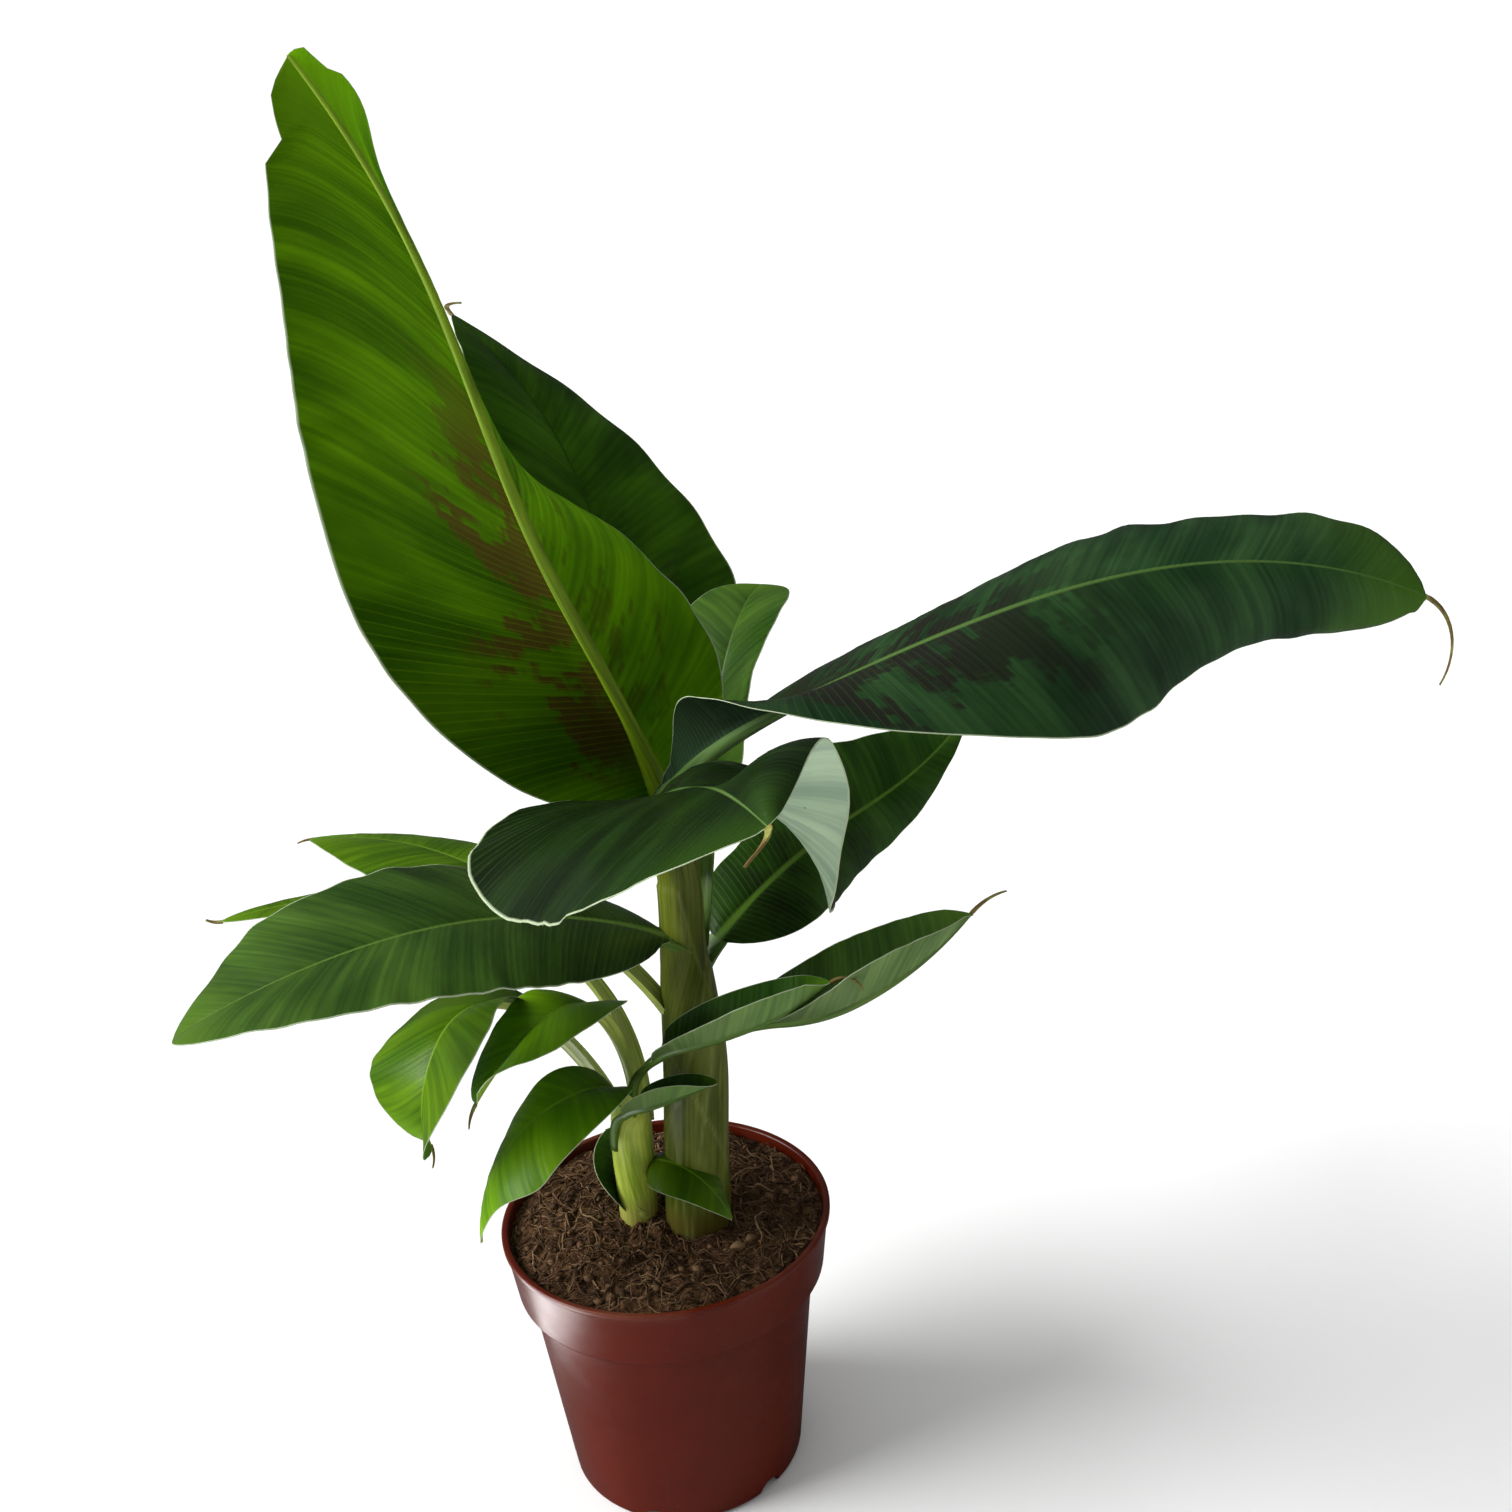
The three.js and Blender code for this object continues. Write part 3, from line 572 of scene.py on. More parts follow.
# Colours of the leaves by look: upper side dark and light, lower side dark and light, tip, rib, light sent
# through with its share, and shine as the specular level. stalk is for petioles paler than the rib.
PALE_LOWER = [(0.10, 0.18, 0.05), (0.17, 0.27, 0.09)]
LOOKS = {
    "deep": dict(
        upper=[(0.005, 0.014, 0.003), (0.012, 0.031, 0.006)],
        # Painted light: this lower side is made pale where the rolled underside faces the light.
        lower=[(0.27, 0.38, 0.26), (0.38, 0.49, 0.36)],
        tip=(0.02, 0.055, 0.004), rib=(0.09, 0.17, 0.04),
        glow=(0.04, 0.13, 0.004), share=0.08, shine=0.22),
    "long": dict(
        upper=[(0.008, 0.030, 0.009), (0.022, 0.064, 0.018)],
        # Painted shade: this lower side is made dark where the folded underside lies in shade.
        lower=[(0.016, 0.042, 0.018), (0.028, 0.066, 0.030)],
        tip=(0.05, 0.13, 0.006), rib=(0.07, 0.14, 0.03),
        glow=(0.03, 0.10, 0.004), share=0.08, shine=0.22),
    "back": dict(
        upper=[(0.015, 0.054, 0.001), (0.036, 0.105, 0.002)],
        lower=PALE_LOWER,
        tip=(0.03, 0.09, 0.003), rib=(0.02, 0.07, 0.004),
        glow=(0.06, 0.20, 0.002), share=0.15, shine=0.06),
    "mid": dict(
        upper=[(0.012, 0.042, 0.004), (0.030, 0.084, 0.008)],
        lower=PALE_LOWER,
        tip=(0.06, 0.15, 0.004), rib=(0.09, 0.19, 0.02),
        glow=(0.06, 0.20, 0.002), share=0.15, shine=0.1),
    "soft": dict(
        upper=[(0.022, 0.062, 0.006), (0.050, 0.115, 0.012)],
        lower=PALE_LOWER,
        tip=(0.08, 0.17, 0.008), rib=(0.11, 0.21, 0.03),
        glow=(0.07, 0.22, 0.003), share=0.15, shine=0.3),
    "fresh": dict(
        upper=[(0.036, 0.095, 0.001), (0.080, 0.165, 0.002)],
        lower=[(0.10, 0.20, 0.02), (0.16, 0.28, 0.05)],
        tip=(0.13, 0.28, 0.006), rib=(0.17, 0.32, 0.02), stalk=(0.50, 0.60, 0.12),
        glow=(0.18, 0.36, 0.001), share=0.3, shine=0.15),
    "lit": dict(
        upper=[(0.020, 0.072, 0.001), (0.042, 0.13, 0.001)],
        lower=[(0.026, 0.074, 0.001), (0.058, 0.145, 0.001)],
        tip=(0.065, 0.15, 0.002), rib=(0.20, 0.34, 0.006),
        glow=(0.13, 0.32, 0.001), share=0.4, shine=0.02),
}
# Blotches end at the veins: width in millimetres of the strips that they keep to.
STRIP = 2.2
VEIN_SPACING = 2.2
# A blade is darker towards its base and lighter towards its tip, painted shade and painted light, and it
# turns yellower from TIP_START on.
BASE_SHADE = 0.6
TIP_SHADE = 1.15
TIP_START = 0.84
TIP_SHARE = 0.75
UPPER_ROUGHNESS = 0.34
LOWER_ROUGHNESS = 0.55
# Blotches: how dense they get by the midrib, and how far from it they reach, in millimetres.
BLOTCH_CROWDING = 0.25
BLOTCH_REACH = 40.0
BLOTCH_SHARE = 0.85
BLOTCH = (0.012, 0.010, 0.008)
BLOTCH_BELOW = (0.014, 0.030, 0.014)
BLOTCH_THROUGH = (0.055, 0.035, 0.006)
PALE_MARGIN = (0.42, 0.50, 0.32)
STALK_SHADE = 0.6
made = {}


def blade_material(name, colours, tip, rib, glow, share, roughness, specular, rib_line, blotch):
    """A blade's skin: fine slanting veins, soft streaks, dark blotches by the midrib, a yellower tip."""
    n = Nodes(name)
    vein, across, edge = n.value("vein"), n.value("across"), n.value("edge")
    along, strength = n.value("along"), n.value("blotch")
    apart = n.math("ABSOLUTE", across)
    patches = n.pattern(vein, 0.05, across, 0.02, 0.0, 3)
    base = n.mix(n.step(patches, 0.35, 0.68), colours[0], colours[1])
    streaks = n.pattern(vein, 0.42, across, 0.012, 3.0, 2)
    base = n.mix(n.step(streaks, 0.4, 0.7, 0.0, 0.55), base, n.tint(base, (1.5, 1.45, 1.3)))
    base = n.mix(n.step(streaks, 0.6, 0.3, 0.0, 0.4), base, n.tint(base, (0.55, 0.6, 0.6)))
    lines = n.math("SINE", n.times(vein, 2 * math.pi / VEIN_SPACING))
    fine_lines = n.times(n.step(lines, 0.8, 1.0), n.step(along, 0.5, 0.08, 0.07, 0.3))
    base = n.mix(n.times(n.step(along, TIP_START, 1.0), TIP_SHARE), base, tip)
    strip = n.math("SNAP", n.plus(vein, n.times(n.math("SINE", across), 0.12)), STRIP)
    cloud = n.pattern(strip, 0.075, across, 0.05, 7.0, 1)
    block = n.pattern(strip, 1.1, across, 0.10, 1.0, 3, 0.65)
    patch = n.plus(cloud, n.math("SUBTRACT", block, 0.5))
    crowding = n.times(n.times(n.step(apart, 36.0, 4.0), strength), BLOTCH_CROWDING)
    spot = n.step(n.plus(patch, crowding), 0.61, 0.74)
    lengthways = n.times(n.step(along, 0.02, 0.12), n.step(along, 0.72, 0.42))
    reach = n.step(apart, BLOTCH_REACH, 26.0)
    spot_share = n.times(n.times(n.times(spot, reach), n.times(lengthways, strength)), BLOTCH_SHARE)
    # Painted light and shade: each half's lift, times painted shade towards the base and painted light
    # towards the tip.
    lift = n.times(n.value("lift"), n.step(along, 0.0, 0.75, BASE_SHADE, TIP_SHADE))
    base = n.tint(base, n.vector(lift, lift, lift))
    skin = n.mix(fine_lines, n.mix(spot_share, base, blotch), rib)
    skin = n.mix(n.step(n.value("rib"), rib_line, 0.25 * rib_line), skin, rib)
    skin = n.mix(n.step(edge, 0.982, 0.995), skin, PALE_MARGIN)
    sheen = n.noise(n.place(), 60.0, 2)
    gloss = n.step(sheen, 0.3, 0.7, roughness - 0.05, roughness + 0.07)
    relief = n.plus(n.times(lines, 0.15), n.times(streaks, 1.4))
    normal = n.bump(relief, 0.00022, 0.45)
    shaded_glow = n.tint(glow, n.mix(0.5, base, (0.6, 0.6, 0.6)))
    through = n.mix(spot_share, n.mix(0.45, glow, shaded_glow), BLOTCH_THROUGH)
    return n.finish(skin, gloss, normal, specular, through, share)


def stalk_material(name, light, dark):
    """Petioles and ribs: pale green with fine lengthwise streaks."""
    n = Nodes(name)
    across = n.value("across")
    grain = n.pattern(across, 1.4, n.value("vein"), 0.03, 0.0, 3)
    cloud = n.noise(n.place(), 45.0, 3)
    colour = n.mix(n.step(grain, 0.35, 0.65), dark, light)
    colour = n.mix(n.step(cloud, 0.55, 0.75, 0.0, 0.5), colour, n.tint(colour, (0.6, 0.65, 0.6)))
    return n.finish(colour, 0.42, n.bump(grain, 0.0002, 0.5), 0.4)


def thread_material():
    n = Nodes("dry_thread")
    grain = n.noise(n.place(), 220.0, 3)
    colour = n.mix(n.step(grain, 0.4, 0.65), (0.16, 0.10, 0.03), (0.24, 0.26, 0.06))
    return n.finish(colour, 0.7, n.bump(grain, 0.0002), 0.2)


def margin_material():
    n = Nodes("leaf_margin")
    grain = n.noise(n.place(), 160.0, 3)
    colour = n.mix(n.step(grain, 0.3, 0.7), (0.30, 0.38, 0.20), (0.52, 0.58, 0.42))
    return n.finish(colour, 0.55, None, 0.3)


def leaf_materials(look):
    """Upper side, lower side, margin, stalk and thread for a look, made once."""
    if look not in made:
        c = LOOKS[look]
        made.setdefault("margin", margin_material())
        made.setdefault("thread", thread_material())
        shared = (c["tip"], c["rib"], c["glow"], c["share"])
        below = BLOTCH_THROUGH if look == "lit" else BLOTCH_BELOW
        upper = blade_material(look + "_leaf_upper", c["upper"], *shared,
                               UPPER_ROUGHNESS, c["shine"], 0.8, BLOTCH)
        lower = blade_material(look + "_leaf_lower", c["lower"], *shared,
                               LOWER_ROUGHNESS, 0.5 * c["shine"], 1.0, below)
        light = c.get("stalk", c["rib"])
        dark = tuple(STALK_SHADE * x for x in light)
        stalk = stalk_material(look + "_leaf_stalk", light, dark)
        made[look] = [upper, lower, made["margin"], stalk, made["thread"]]
    return made[look]


# Stems: smooth tubes wrapped in overlapping leaf sheaths.
STEM_SIDES = 72
STEM_STEP = 1.4
# Each sheath: direction of its back in degrees, height where it opens, share of the way round at the soil.
MAIN_SHEATHS = [(75, 250, 0.5), (215, 236, 0.54), (20, 205, 0.6), (160, 176, 0.62), (310, 158, 0.66)]
SUCKER_SHEATHS = [(180, 150, 0.5), (250, 140, 0.55), (60, 128, 0.6)]
SHEATH_THICKNESS = 0.55
SHEATH_NARROWING = 0.72
SHEATH_EDGE = 0.45
SEAM_PLACE = 0.4
SEAM_WIDTH = 0.55
SKIN_DEPTH = 0.25
# Light, dark and foot colour.
MAIN_STEM_COLOURS = [(0.125, 0.15, 0.014), (0.045, 0.065, 0.002), (0.085, 0.062, 0.010)]
SUCKER_COLOURS = [(0.50, 0.58, 0.09), (0.22, 0.33, 0.02), (0.30, 0.28, 0.06)]
SEAM_COLOUR = (0.34, 0.38, 0.12)


def stem_place(stations, z):
    """Centre and radius of a stem at a height."""
    heights = [s[2] for s in stations]
    i = 0
    while i + 2 < len(heights) and z > heights[i + 1]:
        i += 1
    q = i + (z - heights[i]) / (heights[i + 1] - heights[i])
    return [keyed([s[k] for s in stations], q) for k in (0, 1, 3)]


def stem_piece(name, node, stations, sheaths, material):
    """A stem whose skin steps down over each sheath's edge."""
    low, high = stations[0][2], stations[-1][2]
    rows = round((high - low) / STEM_STEP)
    points, edge, height, turn_at = [], [], [], []
    for i in range(rows + 1):
        z = low + (high - low) * i / rows
        x, y, radius = stem_place(stations, z)
        for turn in ring_turns(STEM_SIDES):
            cover = -SHEATH_THICKNESS * 0.8
            seam = 0.0
            for back, top, share in sheaths:
                climb = min(max((z - low) / (top - low), 0), 1.2)
                half = math.pi * share * 2 * (1 - SHEATH_NARROWING * climb ** 1.6) if climb < 1 else 0
                off = abs((turn - math.radians(back) + math.pi) % (2 * math.pi) - math.pi)
                gap = (half - off) * radius
                cover += SHEATH_THICKNESS / (1 + math.exp(-gap / SHEATH_EDGE))
                if climb < 1:
                    seam = max(seam, math.exp(-((gap - SEAM_PLACE) / SEAM_WIDTH) ** 2))
            ridges = 0.07 * math.sin(23 * turn + 0.02 * z) + 0.05 * math.sin(37 * turn)
            r = radius + min(cover, 0.6) + ridges - SKIN_DEPTH
            points.append((x + r * math.cos(turn), y + r * math.sin(turn), z))
            edge.append(seam)
            height.append(z)
            turn_at.append(turn * radius)
    faces = []
    for i in range(rows):
        faces += bridge(i * STEM_SIDES, STEM_SIDES)
    faces.append(tuple(reversed(range(STEM_SIDES))))
    faces.append(tuple(rows * STEM_SIDES + k for k in range(STEM_SIDES)))
    piece = mesh_piece(name, points, faces)
    set_values(piece, seam=edge, height=height, around=turn_at)
    piece.data.materials.append(material)
    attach(piece, "root")
    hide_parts(node)


def stem_material(name, light, dark, foot):
    """Leaf sheaths: lengthwise streaks, pale edges, browner towards the soil."""
    n = Nodes(name)
    around, height = n.value("around"), n.value("height")
    streaks = n.pattern(around, 0.9, height, 0.02, 0.0, 4, 0.6)
    clouds = n.pattern(around, 0.12, height, 0.03, 4.0, 3)
    blend = n.plus(n.times(streaks, 0.45), n.times(clouds, 0.55))
    colour = n.mix(n.step(blend, 0.36, 0.62), dark, light)
    soil_line = SOIL_EDGE_HEIGHT + SOIL_HEAP
    brown = n.plus(n.step(height, soil_line + 26, soil_line), n.times(clouds, 0.5))
    colour = n.mix(n.step(brown, 0.72, 1.35, 0.0, 0.85), colour, foot)
    colour = n.mix(n.times(n.value("seam"), 0.22), colour, SEAM_COLOUR)
    gloss = n.step(streaks, 0.3, 0.7, 0.36, 0.5)
    return n.finish(colour, gloss, n.bump(streaks, 0.0002, 0.4), 0.25)


# Pot.
POT_SIDES = 192
SHARP_ANGLE = 38
PROFILE_ROUNDING = 0.8


def lathe(name, profile, sides):
    """A closed turned form from a profile of [radius, height] that starts and ends on the axis."""
    points, faces, starts = [], [], []
    for radius, z in profile:
        starts.append(len(points))
        for k in range(1 if radius == 0 else sides):
            turn = 2 * math.pi * k / sides
            points.append((radius * math.cos(turn), radius * math.sin(turn), z))
    for i in range(len(profile) - 1):
        for k in range(sides):
            here = [starts[i] + (0 if profile[i][0] == 0 else m % sides) for m in (k, k + 1)]
            there = [starts[i + 1] + (0 if profile[i + 1][0] == 0 else m % sides) for m in (k, k + 1)]
            ring = [here[0], here[1], there[1], there[0]]
            faces.append(tuple(dict.fromkeys(ring)))
    return mesh_piece(name, points, faces)


def rounded(corners, radius, steps=4):
    """A profile whose inner corners are cut by short arcs."""
    out = [corners[0]]
    for before, here, after in zip(corners, corners[1:], corners[2:]):
        a, b, c = (Vector(p) for p in (before, here, after))
        reach = min(radius, 0.45 * (a - b).length, 0.45 * (c - b).length)
        start = b + (a - b).normalized() * reach
        end = b + (c - b).normalized() * reach
        for k in range(steps + 1):
            t = k / steps
            out.append(tuple((1 - t) ** 2 * start + 2 * t * (1 - t) * b + t * t * end))
    out.append(corners[-1])
    return out


def pot_piece():
    """Pot with rolled lip, stepped collar and arched drain notches."""
    body_top = POT_HEIGHT - COLLAR_HEIGHT
    collar_foot = body_top + STEP_RISE
    lip_foot = POT_HEIGHT - LIP_HEIGHT
    lip_inner = RIM_RADIUS - LIP_PROUD - POT_WALL
    outside = [
        (0, BASE_RISE), (FOOT_INSIDE[0], BASE_RISE), (FOOT_INSIDE[1], 0),
        (BASE_RADIUS - FOOT_CHAMFER, 0), (BASE_RADIUS, FOOT_CHAMFER),
        (BODY_TOP_RADIUS, body_top), (COLLAR_FOOT_RADIUS, collar_foot), (RIM_RADIUS - LIP_PROUD, lip_foot),
        (RIM_RADIUS, lip_foot + 0.5), (RIM_RADIUS, POT_HEIGHT - 0.3), (RIM_RADIUS - 0.6, POT_HEIGHT),
        (lip_inner, POT_HEIGHT - 0.2), (lip_inner - 0.2, lip_foot),
        (COLLAR_FOOT_RADIUS - POT_WALL, collar_foot + POT_WALL),
        (BODY_TOP_RADIUS - POT_WALL, body_top + POT_WALL),
        (BASE_RADIUS - POT_WALL, POT_WALL + BASE_RISE), (0, POT_WALL + BASE_RISE),
    ]
    pot = lathe("pot_shell", rounded(outside, PROFILE_ROUNDING), POT_SIDES)
    outward(pot)
    for k in range(NOTCH_COUNT):
        turn = math.radians(NOTCH_TURN) + 2 * math.pi * k / NOTCH_COUNT
        bpy.ops.mesh.primitive_cylinder_add(vertices=40, radius=NOTCH_RADIUS * MM, depth=NOTCH_CUT * MM)
        cutter = bpy.context.object
        cutter.matrix_world = (
            Matrix.Translation((BASE_RADIUS * MM * math.cos(turn), BASE_RADIUS * MM * math.sin(turn), 0))
            @ Matrix.Rotation(turn, 4, "Z") @ Matrix.Rotation(math.pi / 2, 4, "Y"))
        cut = pot.modifiers.new("notch", "BOOLEAN")
        cut.operation = "DIFFERENCE"
        cut.object = cutter
        cut.solver = "EXACT"
        bpy.context.view_layer.update()
        graph = bpy.context.evaluated_depsgraph_get()
        shaped = bpy.data.meshes.new_from_object(pot.evaluated_get(graph))
        pot.modifiers.clear()
        pot.data = shaped
        bpy.data.objects.remove(cutter)
    pot.data.name = "pot_shell"
    for face in pot.data.polygons:
        face.use_smooth = True
    pot.data.set_sharp_from_angle(angle=math.radians(SHARP_ANGLE))
    pot.data.materials.clear()
    pot.data.materials.append(pot_material())
    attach(pot, "root")
    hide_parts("pot")


def pot_material():
    """Moulded plastic: even red-brown with faint clouds, turning lines, small scuffs and paler patches by the
    lip.
    """
    n = Nodes("moulded_plastic")
    place = n.place()
    split = n.add("SeparateXYZ")
    n.put(split.inputs[0], place)
    z = split.outputs[2]
    clouds = n.noise(place, 22.0, 3)
    colour = n.mix(n.step(clouds, 0.3, 0.7), (0.084, 0.0065, 0.001), (0.102, 0.0085, 0.0015))
    specks = n.noise(place, 900.0, 2)
    colour = n.mix(n.step(specks, 0.66, 0.74, 0.0, 0.35), colour, (0.17, 0.05, 0.03))
    scuffs = n.noise(n.vector(split.outputs[0], split.outputs[1], n.times(z, 2.0)), 90.0, 4, 0.6)
    colour = n.mix(n.step(scuffs, 0.62, 0.76, 0.0, 0.07), colour, (0.19, 0.055, 0.035))
    # Paler patches on the top of the collar and the lip.
    paler_by_lip = n.times(n.step(z, 0.0985, 0.1035), n.step(clouds, 0.45, 0.65))
    colour = n.mix(n.times(paler_by_lip, 0.25), colour, (0.20, 0.09, 0.055))
    rings = n.math("SINE", n.times(z, 2 * math.pi / 0.0011))
    relief = n.plus(n.times(rings, 0.12), clouds)
    gloss = n.step(scuffs, 0.35, 0.7, 0.28, 0.33)
    return n.finish(colour, gloss, n.bump(relief, 0.00003, 0.3), 0.38)


# Coconut fibre.
SOIL_RINGS = 90
SOIL_SIDES = 220
FIBRE_COUNT = 1500
CRUMB_COUNT = 420
COARSE_SHARE = 0.14
FIBRE_STEP = 1.5
FIBRE_MARGIN = 0.8
SOIL_SEED = 71
# Below the surface the fill follows the pot's inside, less a small gap. Each ring has its height and the
# height at which its radius is taken, which keeps it clear of the step under the collar.
SOIL_LOWER_RINGS = ((82.5, 82.5), (78.5, 78), (3.2, 3.2))
SOIL_GAP = 0.4
# Where the two stems leave the soil: x, y and radius.
STEM_FEET = ((11.6, -5, 11.6), (-10, -1, 6.6))
# Larger bits of husk: x, y, size and tone.
CHIPS = [
    (26, -24, 3.6, 0.85), (31, -20, 2.6, 0.6), (-30, -17, 3.0, 0.35), (38, 4, 2.8, 0.4), (12, -36, 2.8, 0.5),
]


def pot_inside(z):
    """Inner radius of the pot at a height."""
    body_top = POT_HEIGHT - COLLAR_HEIGHT
    collar_foot = body_top + STEP_RISE
    if z <= body_top:
        return BASE_RADIUS + (BODY_TOP_RADIUS - BASE_RADIUS) * z / body_top - POT_WALL
    rise = (z - collar_foot) / (POT_HEIGHT - collar_foot)
    return COLLAR_FOOT_RADIUS + (RIM_RADIUS - LIP_PROUD - COLLAR_FOOT_RADIUS) * rise - POT_WALL


SOIL_EDGE = pot_inside(SOIL_EDGE_HEIGHT) - 0.1


def soil_height(x, y):
    """Height of the heaped, crumbly surface."""
    share = min(math.hypot(x, y) / SOIL_EDGE, 1)
    heap = SOIL_HEAP * (1 - share ** 2)
    broad = 1.5 * noise.noise(Vector((x * 0.06, y * 0.06, 2.0)))
    crumbs = 1.5 * noise.fractal(Vector((x * 0.28, y * 0.28, 5.0)), 0.8, 2.1, 5)
    edge_drop = 1.2 * share ** 8
    return SOIL_EDGE_HEIGHT + heap + (broad + crumbs) * (1 - 0.5 * share ** 6) - edge_drop


def soil_piece(material):
    """The fill: a crumbly top that runs down inside the pot to its floor."""
    points, faces = [(0, 0, soil_height(0, 0))], []
    for i in range(1, SOIL_RINGS + 1):
        radius = SOIL_EDGE * i / SOIL_RINGS
        for turn in ring_turns(SOIL_SIDES, 0.5 * (i % 2)):
            x, y = radius * math.cos(turn), radius * math.sin(turn)
            points.append((x, y, soil_height(x, y)))
    for z, taken_at in SOIL_LOWER_RINGS:
        radius = pot_inside(taken_at) - SOIL_GAP
        for turn in ring_turns(SOIL_SIDES):
            points.append((radius * math.cos(turn), radius * math.sin(turn), z))
    for k in range(SOIL_SIDES):
        faces.append((0, 1 + k, 1 + (k + 1) % SOIL_SIDES))
    rings = SOIL_RINGS + len(SOIL_LOWER_RINGS)
    for i in range(rings - 1):
        faces += bridge(1 + i * SOIL_SIDES, SOIL_SIDES, turned_over=True)
    last = 1 + (rings - 1) * SOIL_SIDES
    faces.append(tuple(last + k for k in range(SOIL_SIDES)))
    piece = mesh_piece("coco_bed", points, faces)
    outward(piece)
    piece.data.materials.append(material)
    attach(piece, "root")
    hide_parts("soil")


def clear_of_stems(x, y, margin):
    return all(math.hypot(x - foot_x, y - foot_y) > radius + margin for foot_x, foot_y, radius in STEM_FEET)


def add_tube(points, faces, tones, path, radius, tone, sides=4):
    """A thin tapering tube along a path."""
    start = len(points)
    for i, place in enumerate(path):
        ahead = path[min(i + 1, len(path) - 1)] - path[max(i - 1, 0)]
        ahead.normalize()
        side = ahead.cross(Vector((0.13, 0.07, 1))).normalized()
        rise = side.cross(ahead)
        taper = radius * (0.35 + 0.65 * math.sin(math.pi * (0.12 + 0.76 * i / (len(path) - 1))))
        for turn in ring_turns(sides):
            points.append(place + side * (taper * math.cos(turn)) + rise * (taper * math.sin(turn)))
            tones.append(tone)
    for i in range(len(path) - 1):
        faces += bridge(start + i * sides, sides)
    end = start + (len(path) - 1) * sides
    faces.append(tuple(start + k for k in reversed(range(sides))))
    faces.append(tuple(end + k for k in range(sides)))


def off_the_fill(x, y):
    return math.hypot(x, y) > SOIL_EDGE - FIBRE_MARGIN or not clear_of_stems(x, y, 0.4)


def fibre_path(rule, x, y, length, lift):
    """A curly path that follows the surface and stays within the pot."""
    heading = rule.uniform(0, 2 * math.pi)
    bend = rule.gauss(0, 0.16)
    wobble = rule.uniform(0.05, 0.5)
    steps = max(int(length / FIBRE_STEP), 4)
    path = []
    for i in range(steps + 1):
        t = i / steps
        z = soil_height(x, y) + lift * math.sin(math.pi * t) * (1 + 0.4 * math.sin(5 * t)) - 0.15
        path.append(Vector((x, y, z)))
        heading += bend * 0.6 + wobble * math.sin(i * 1.3 + bend * 20)
        nx, ny = x + FIBRE_STEP * math.cos(heading), y + FIBRE_STEP * math.sin(heading)
        if off_the_fill(nx, ny):
            heading += 1.9
            nx, ny = x + 0.8 * math.cos(heading), y + 0.8 * math.sin(heading)
            if off_the_fill(nx, ny):
                break
        x, y = nx, ny
    return path


def random_place(rule, inset):
    """A place on the fill, at least inset from its edge."""
    radius, turn = (SOIL_EDGE - inset) * math.sqrt(rule.random()), rule.uniform(0, 2 * math.pi)
    return radius * math.cos(turn), radius * math.sin(turn)


def fibre_piece(material):
    """Loose fibres, crumbs and bits of husk on the fill."""
    rule = random.Random(SOIL_SEED)
    points, faces, tones = [], [], []
    made_count = 0
    while made_count < FIBRE_COUNT:
        x, y = random_place(rule, 2)
        if not clear_of_stems(x, y, 0.6):
            continue
        coarse = rule.random() < COARSE_SHARE
        length = rule.uniform(9, 26) if coarse else rule.uniform(5, 20)
        lift = rule.uniform(0.2, 2.6) if rule.random() < 0.35 else rule.uniform(0.0, 0.9)
        path = fibre_path(rule, x, y, length, lift)
        if len(path) < 4:
            continue
        size = rule.uniform(0.28, 0.5) if coarse else rule.uniform(0.09, 0.24)
        add_tube(points, faces, tones, path, size, rule.random() ** 1.7)
        made_count += 1
    for _ in range(CRUMB_COUNT):
        x, y = random_place(rule, 2.5)
        if not clear_of_stems(x, y, 1.2):
            continue
        add_chip(points, faces, tones, rule, x, y, rule.uniform(0.7, 2.1), 0.55 * rule.random() ** 2)
    for x, y, size, tone in CHIPS:
        add_chip(points, faces, tones, rule, x, y, size, tone)
    piece = mesh_piece("coco_fibres", points, faces)
    set_values(piece, tone=tones)
    piece.data.materials.append(material)
    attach(piece, "root")


def add_chip(points, faces, tones, rule, x, y, size, tone):
    """A small faceted bit of husk, pressed into the surface."""
    work = bmesh.new()
    bmesh.ops.create_icosphere(work, subdivisions=1, radius=1)
    stretch = Vector((size, size * rule.uniform(0.45, 0.9), size * rule.uniform(0.3, 0.6)))
    turn = Matrix.Rotation(rule.uniform(0, 2 * math.pi), 3, "Z")
    spin = turn @ Matrix.Rotation(rule.uniform(-0.5, 0.5), 3, "X")
    centre = Vector((x, y, soil_height(x, y) + 0.2 * size))
    start = len(points)
    for vertex in work.verts:
        rough = 1 + rule.uniform(-0.22, 0.22)
        points.append(centre + spin @ Vector(tuple(a * b * rough for a, b in zip(vertex.co, stretch))))
        tones.append(tone)
    for face in work.faces:
        faces.append(tuple(start + vertex.index for vertex in face.verts))
    work.free()


def soil_material():
    n = Nodes("coco_peat")
    place = n.place()
    fine = n.noise(place, 420.0, 5, 0.7)
    broad = n.noise(place, 55.0, 3)
    colour = n.mix(n.step(fine, 0.35, 0.68), (0.030, 0.013, 0.006), (0.14, 0.072, 0.034))
    colour = n.mix(n.step(broad, 0.5, 0.75, 0.0, 0.5), colour, (0.035, 0.017, 0.009))
    return n.finish(colour, 0.95, n.bump(fine, 0.0012, 1.0), 0.1)


def fibre_material():
    n = Nodes("coco_fibre")
    tone = n.value("tone")
    grain = n.noise(n.place(), 500.0, 3)
    colour = n.mix(n.step(tone, 0.0, 0.55), (0.046, 0.021, 0.009), (0.15, 0.080, 0.038))
    colour = n.mix(n.step(tone, 0.5, 1.0), colour, (0.23, 0.14, 0.07))
    colour = n.mix(n.step(grain, 0.35, 0.7, 0.0, 0.4), colour, n.tint(colour, (0.5, 0.5, 0.5)))
    return n.finish(colour, 0.8, n.bump(grain, 0.0003, 0.6), 0.2)


# Studio.
FLOOR_SIDE = 12000
WORLD_BRIGHT = 0.75
WORLD_DIM = 0.25
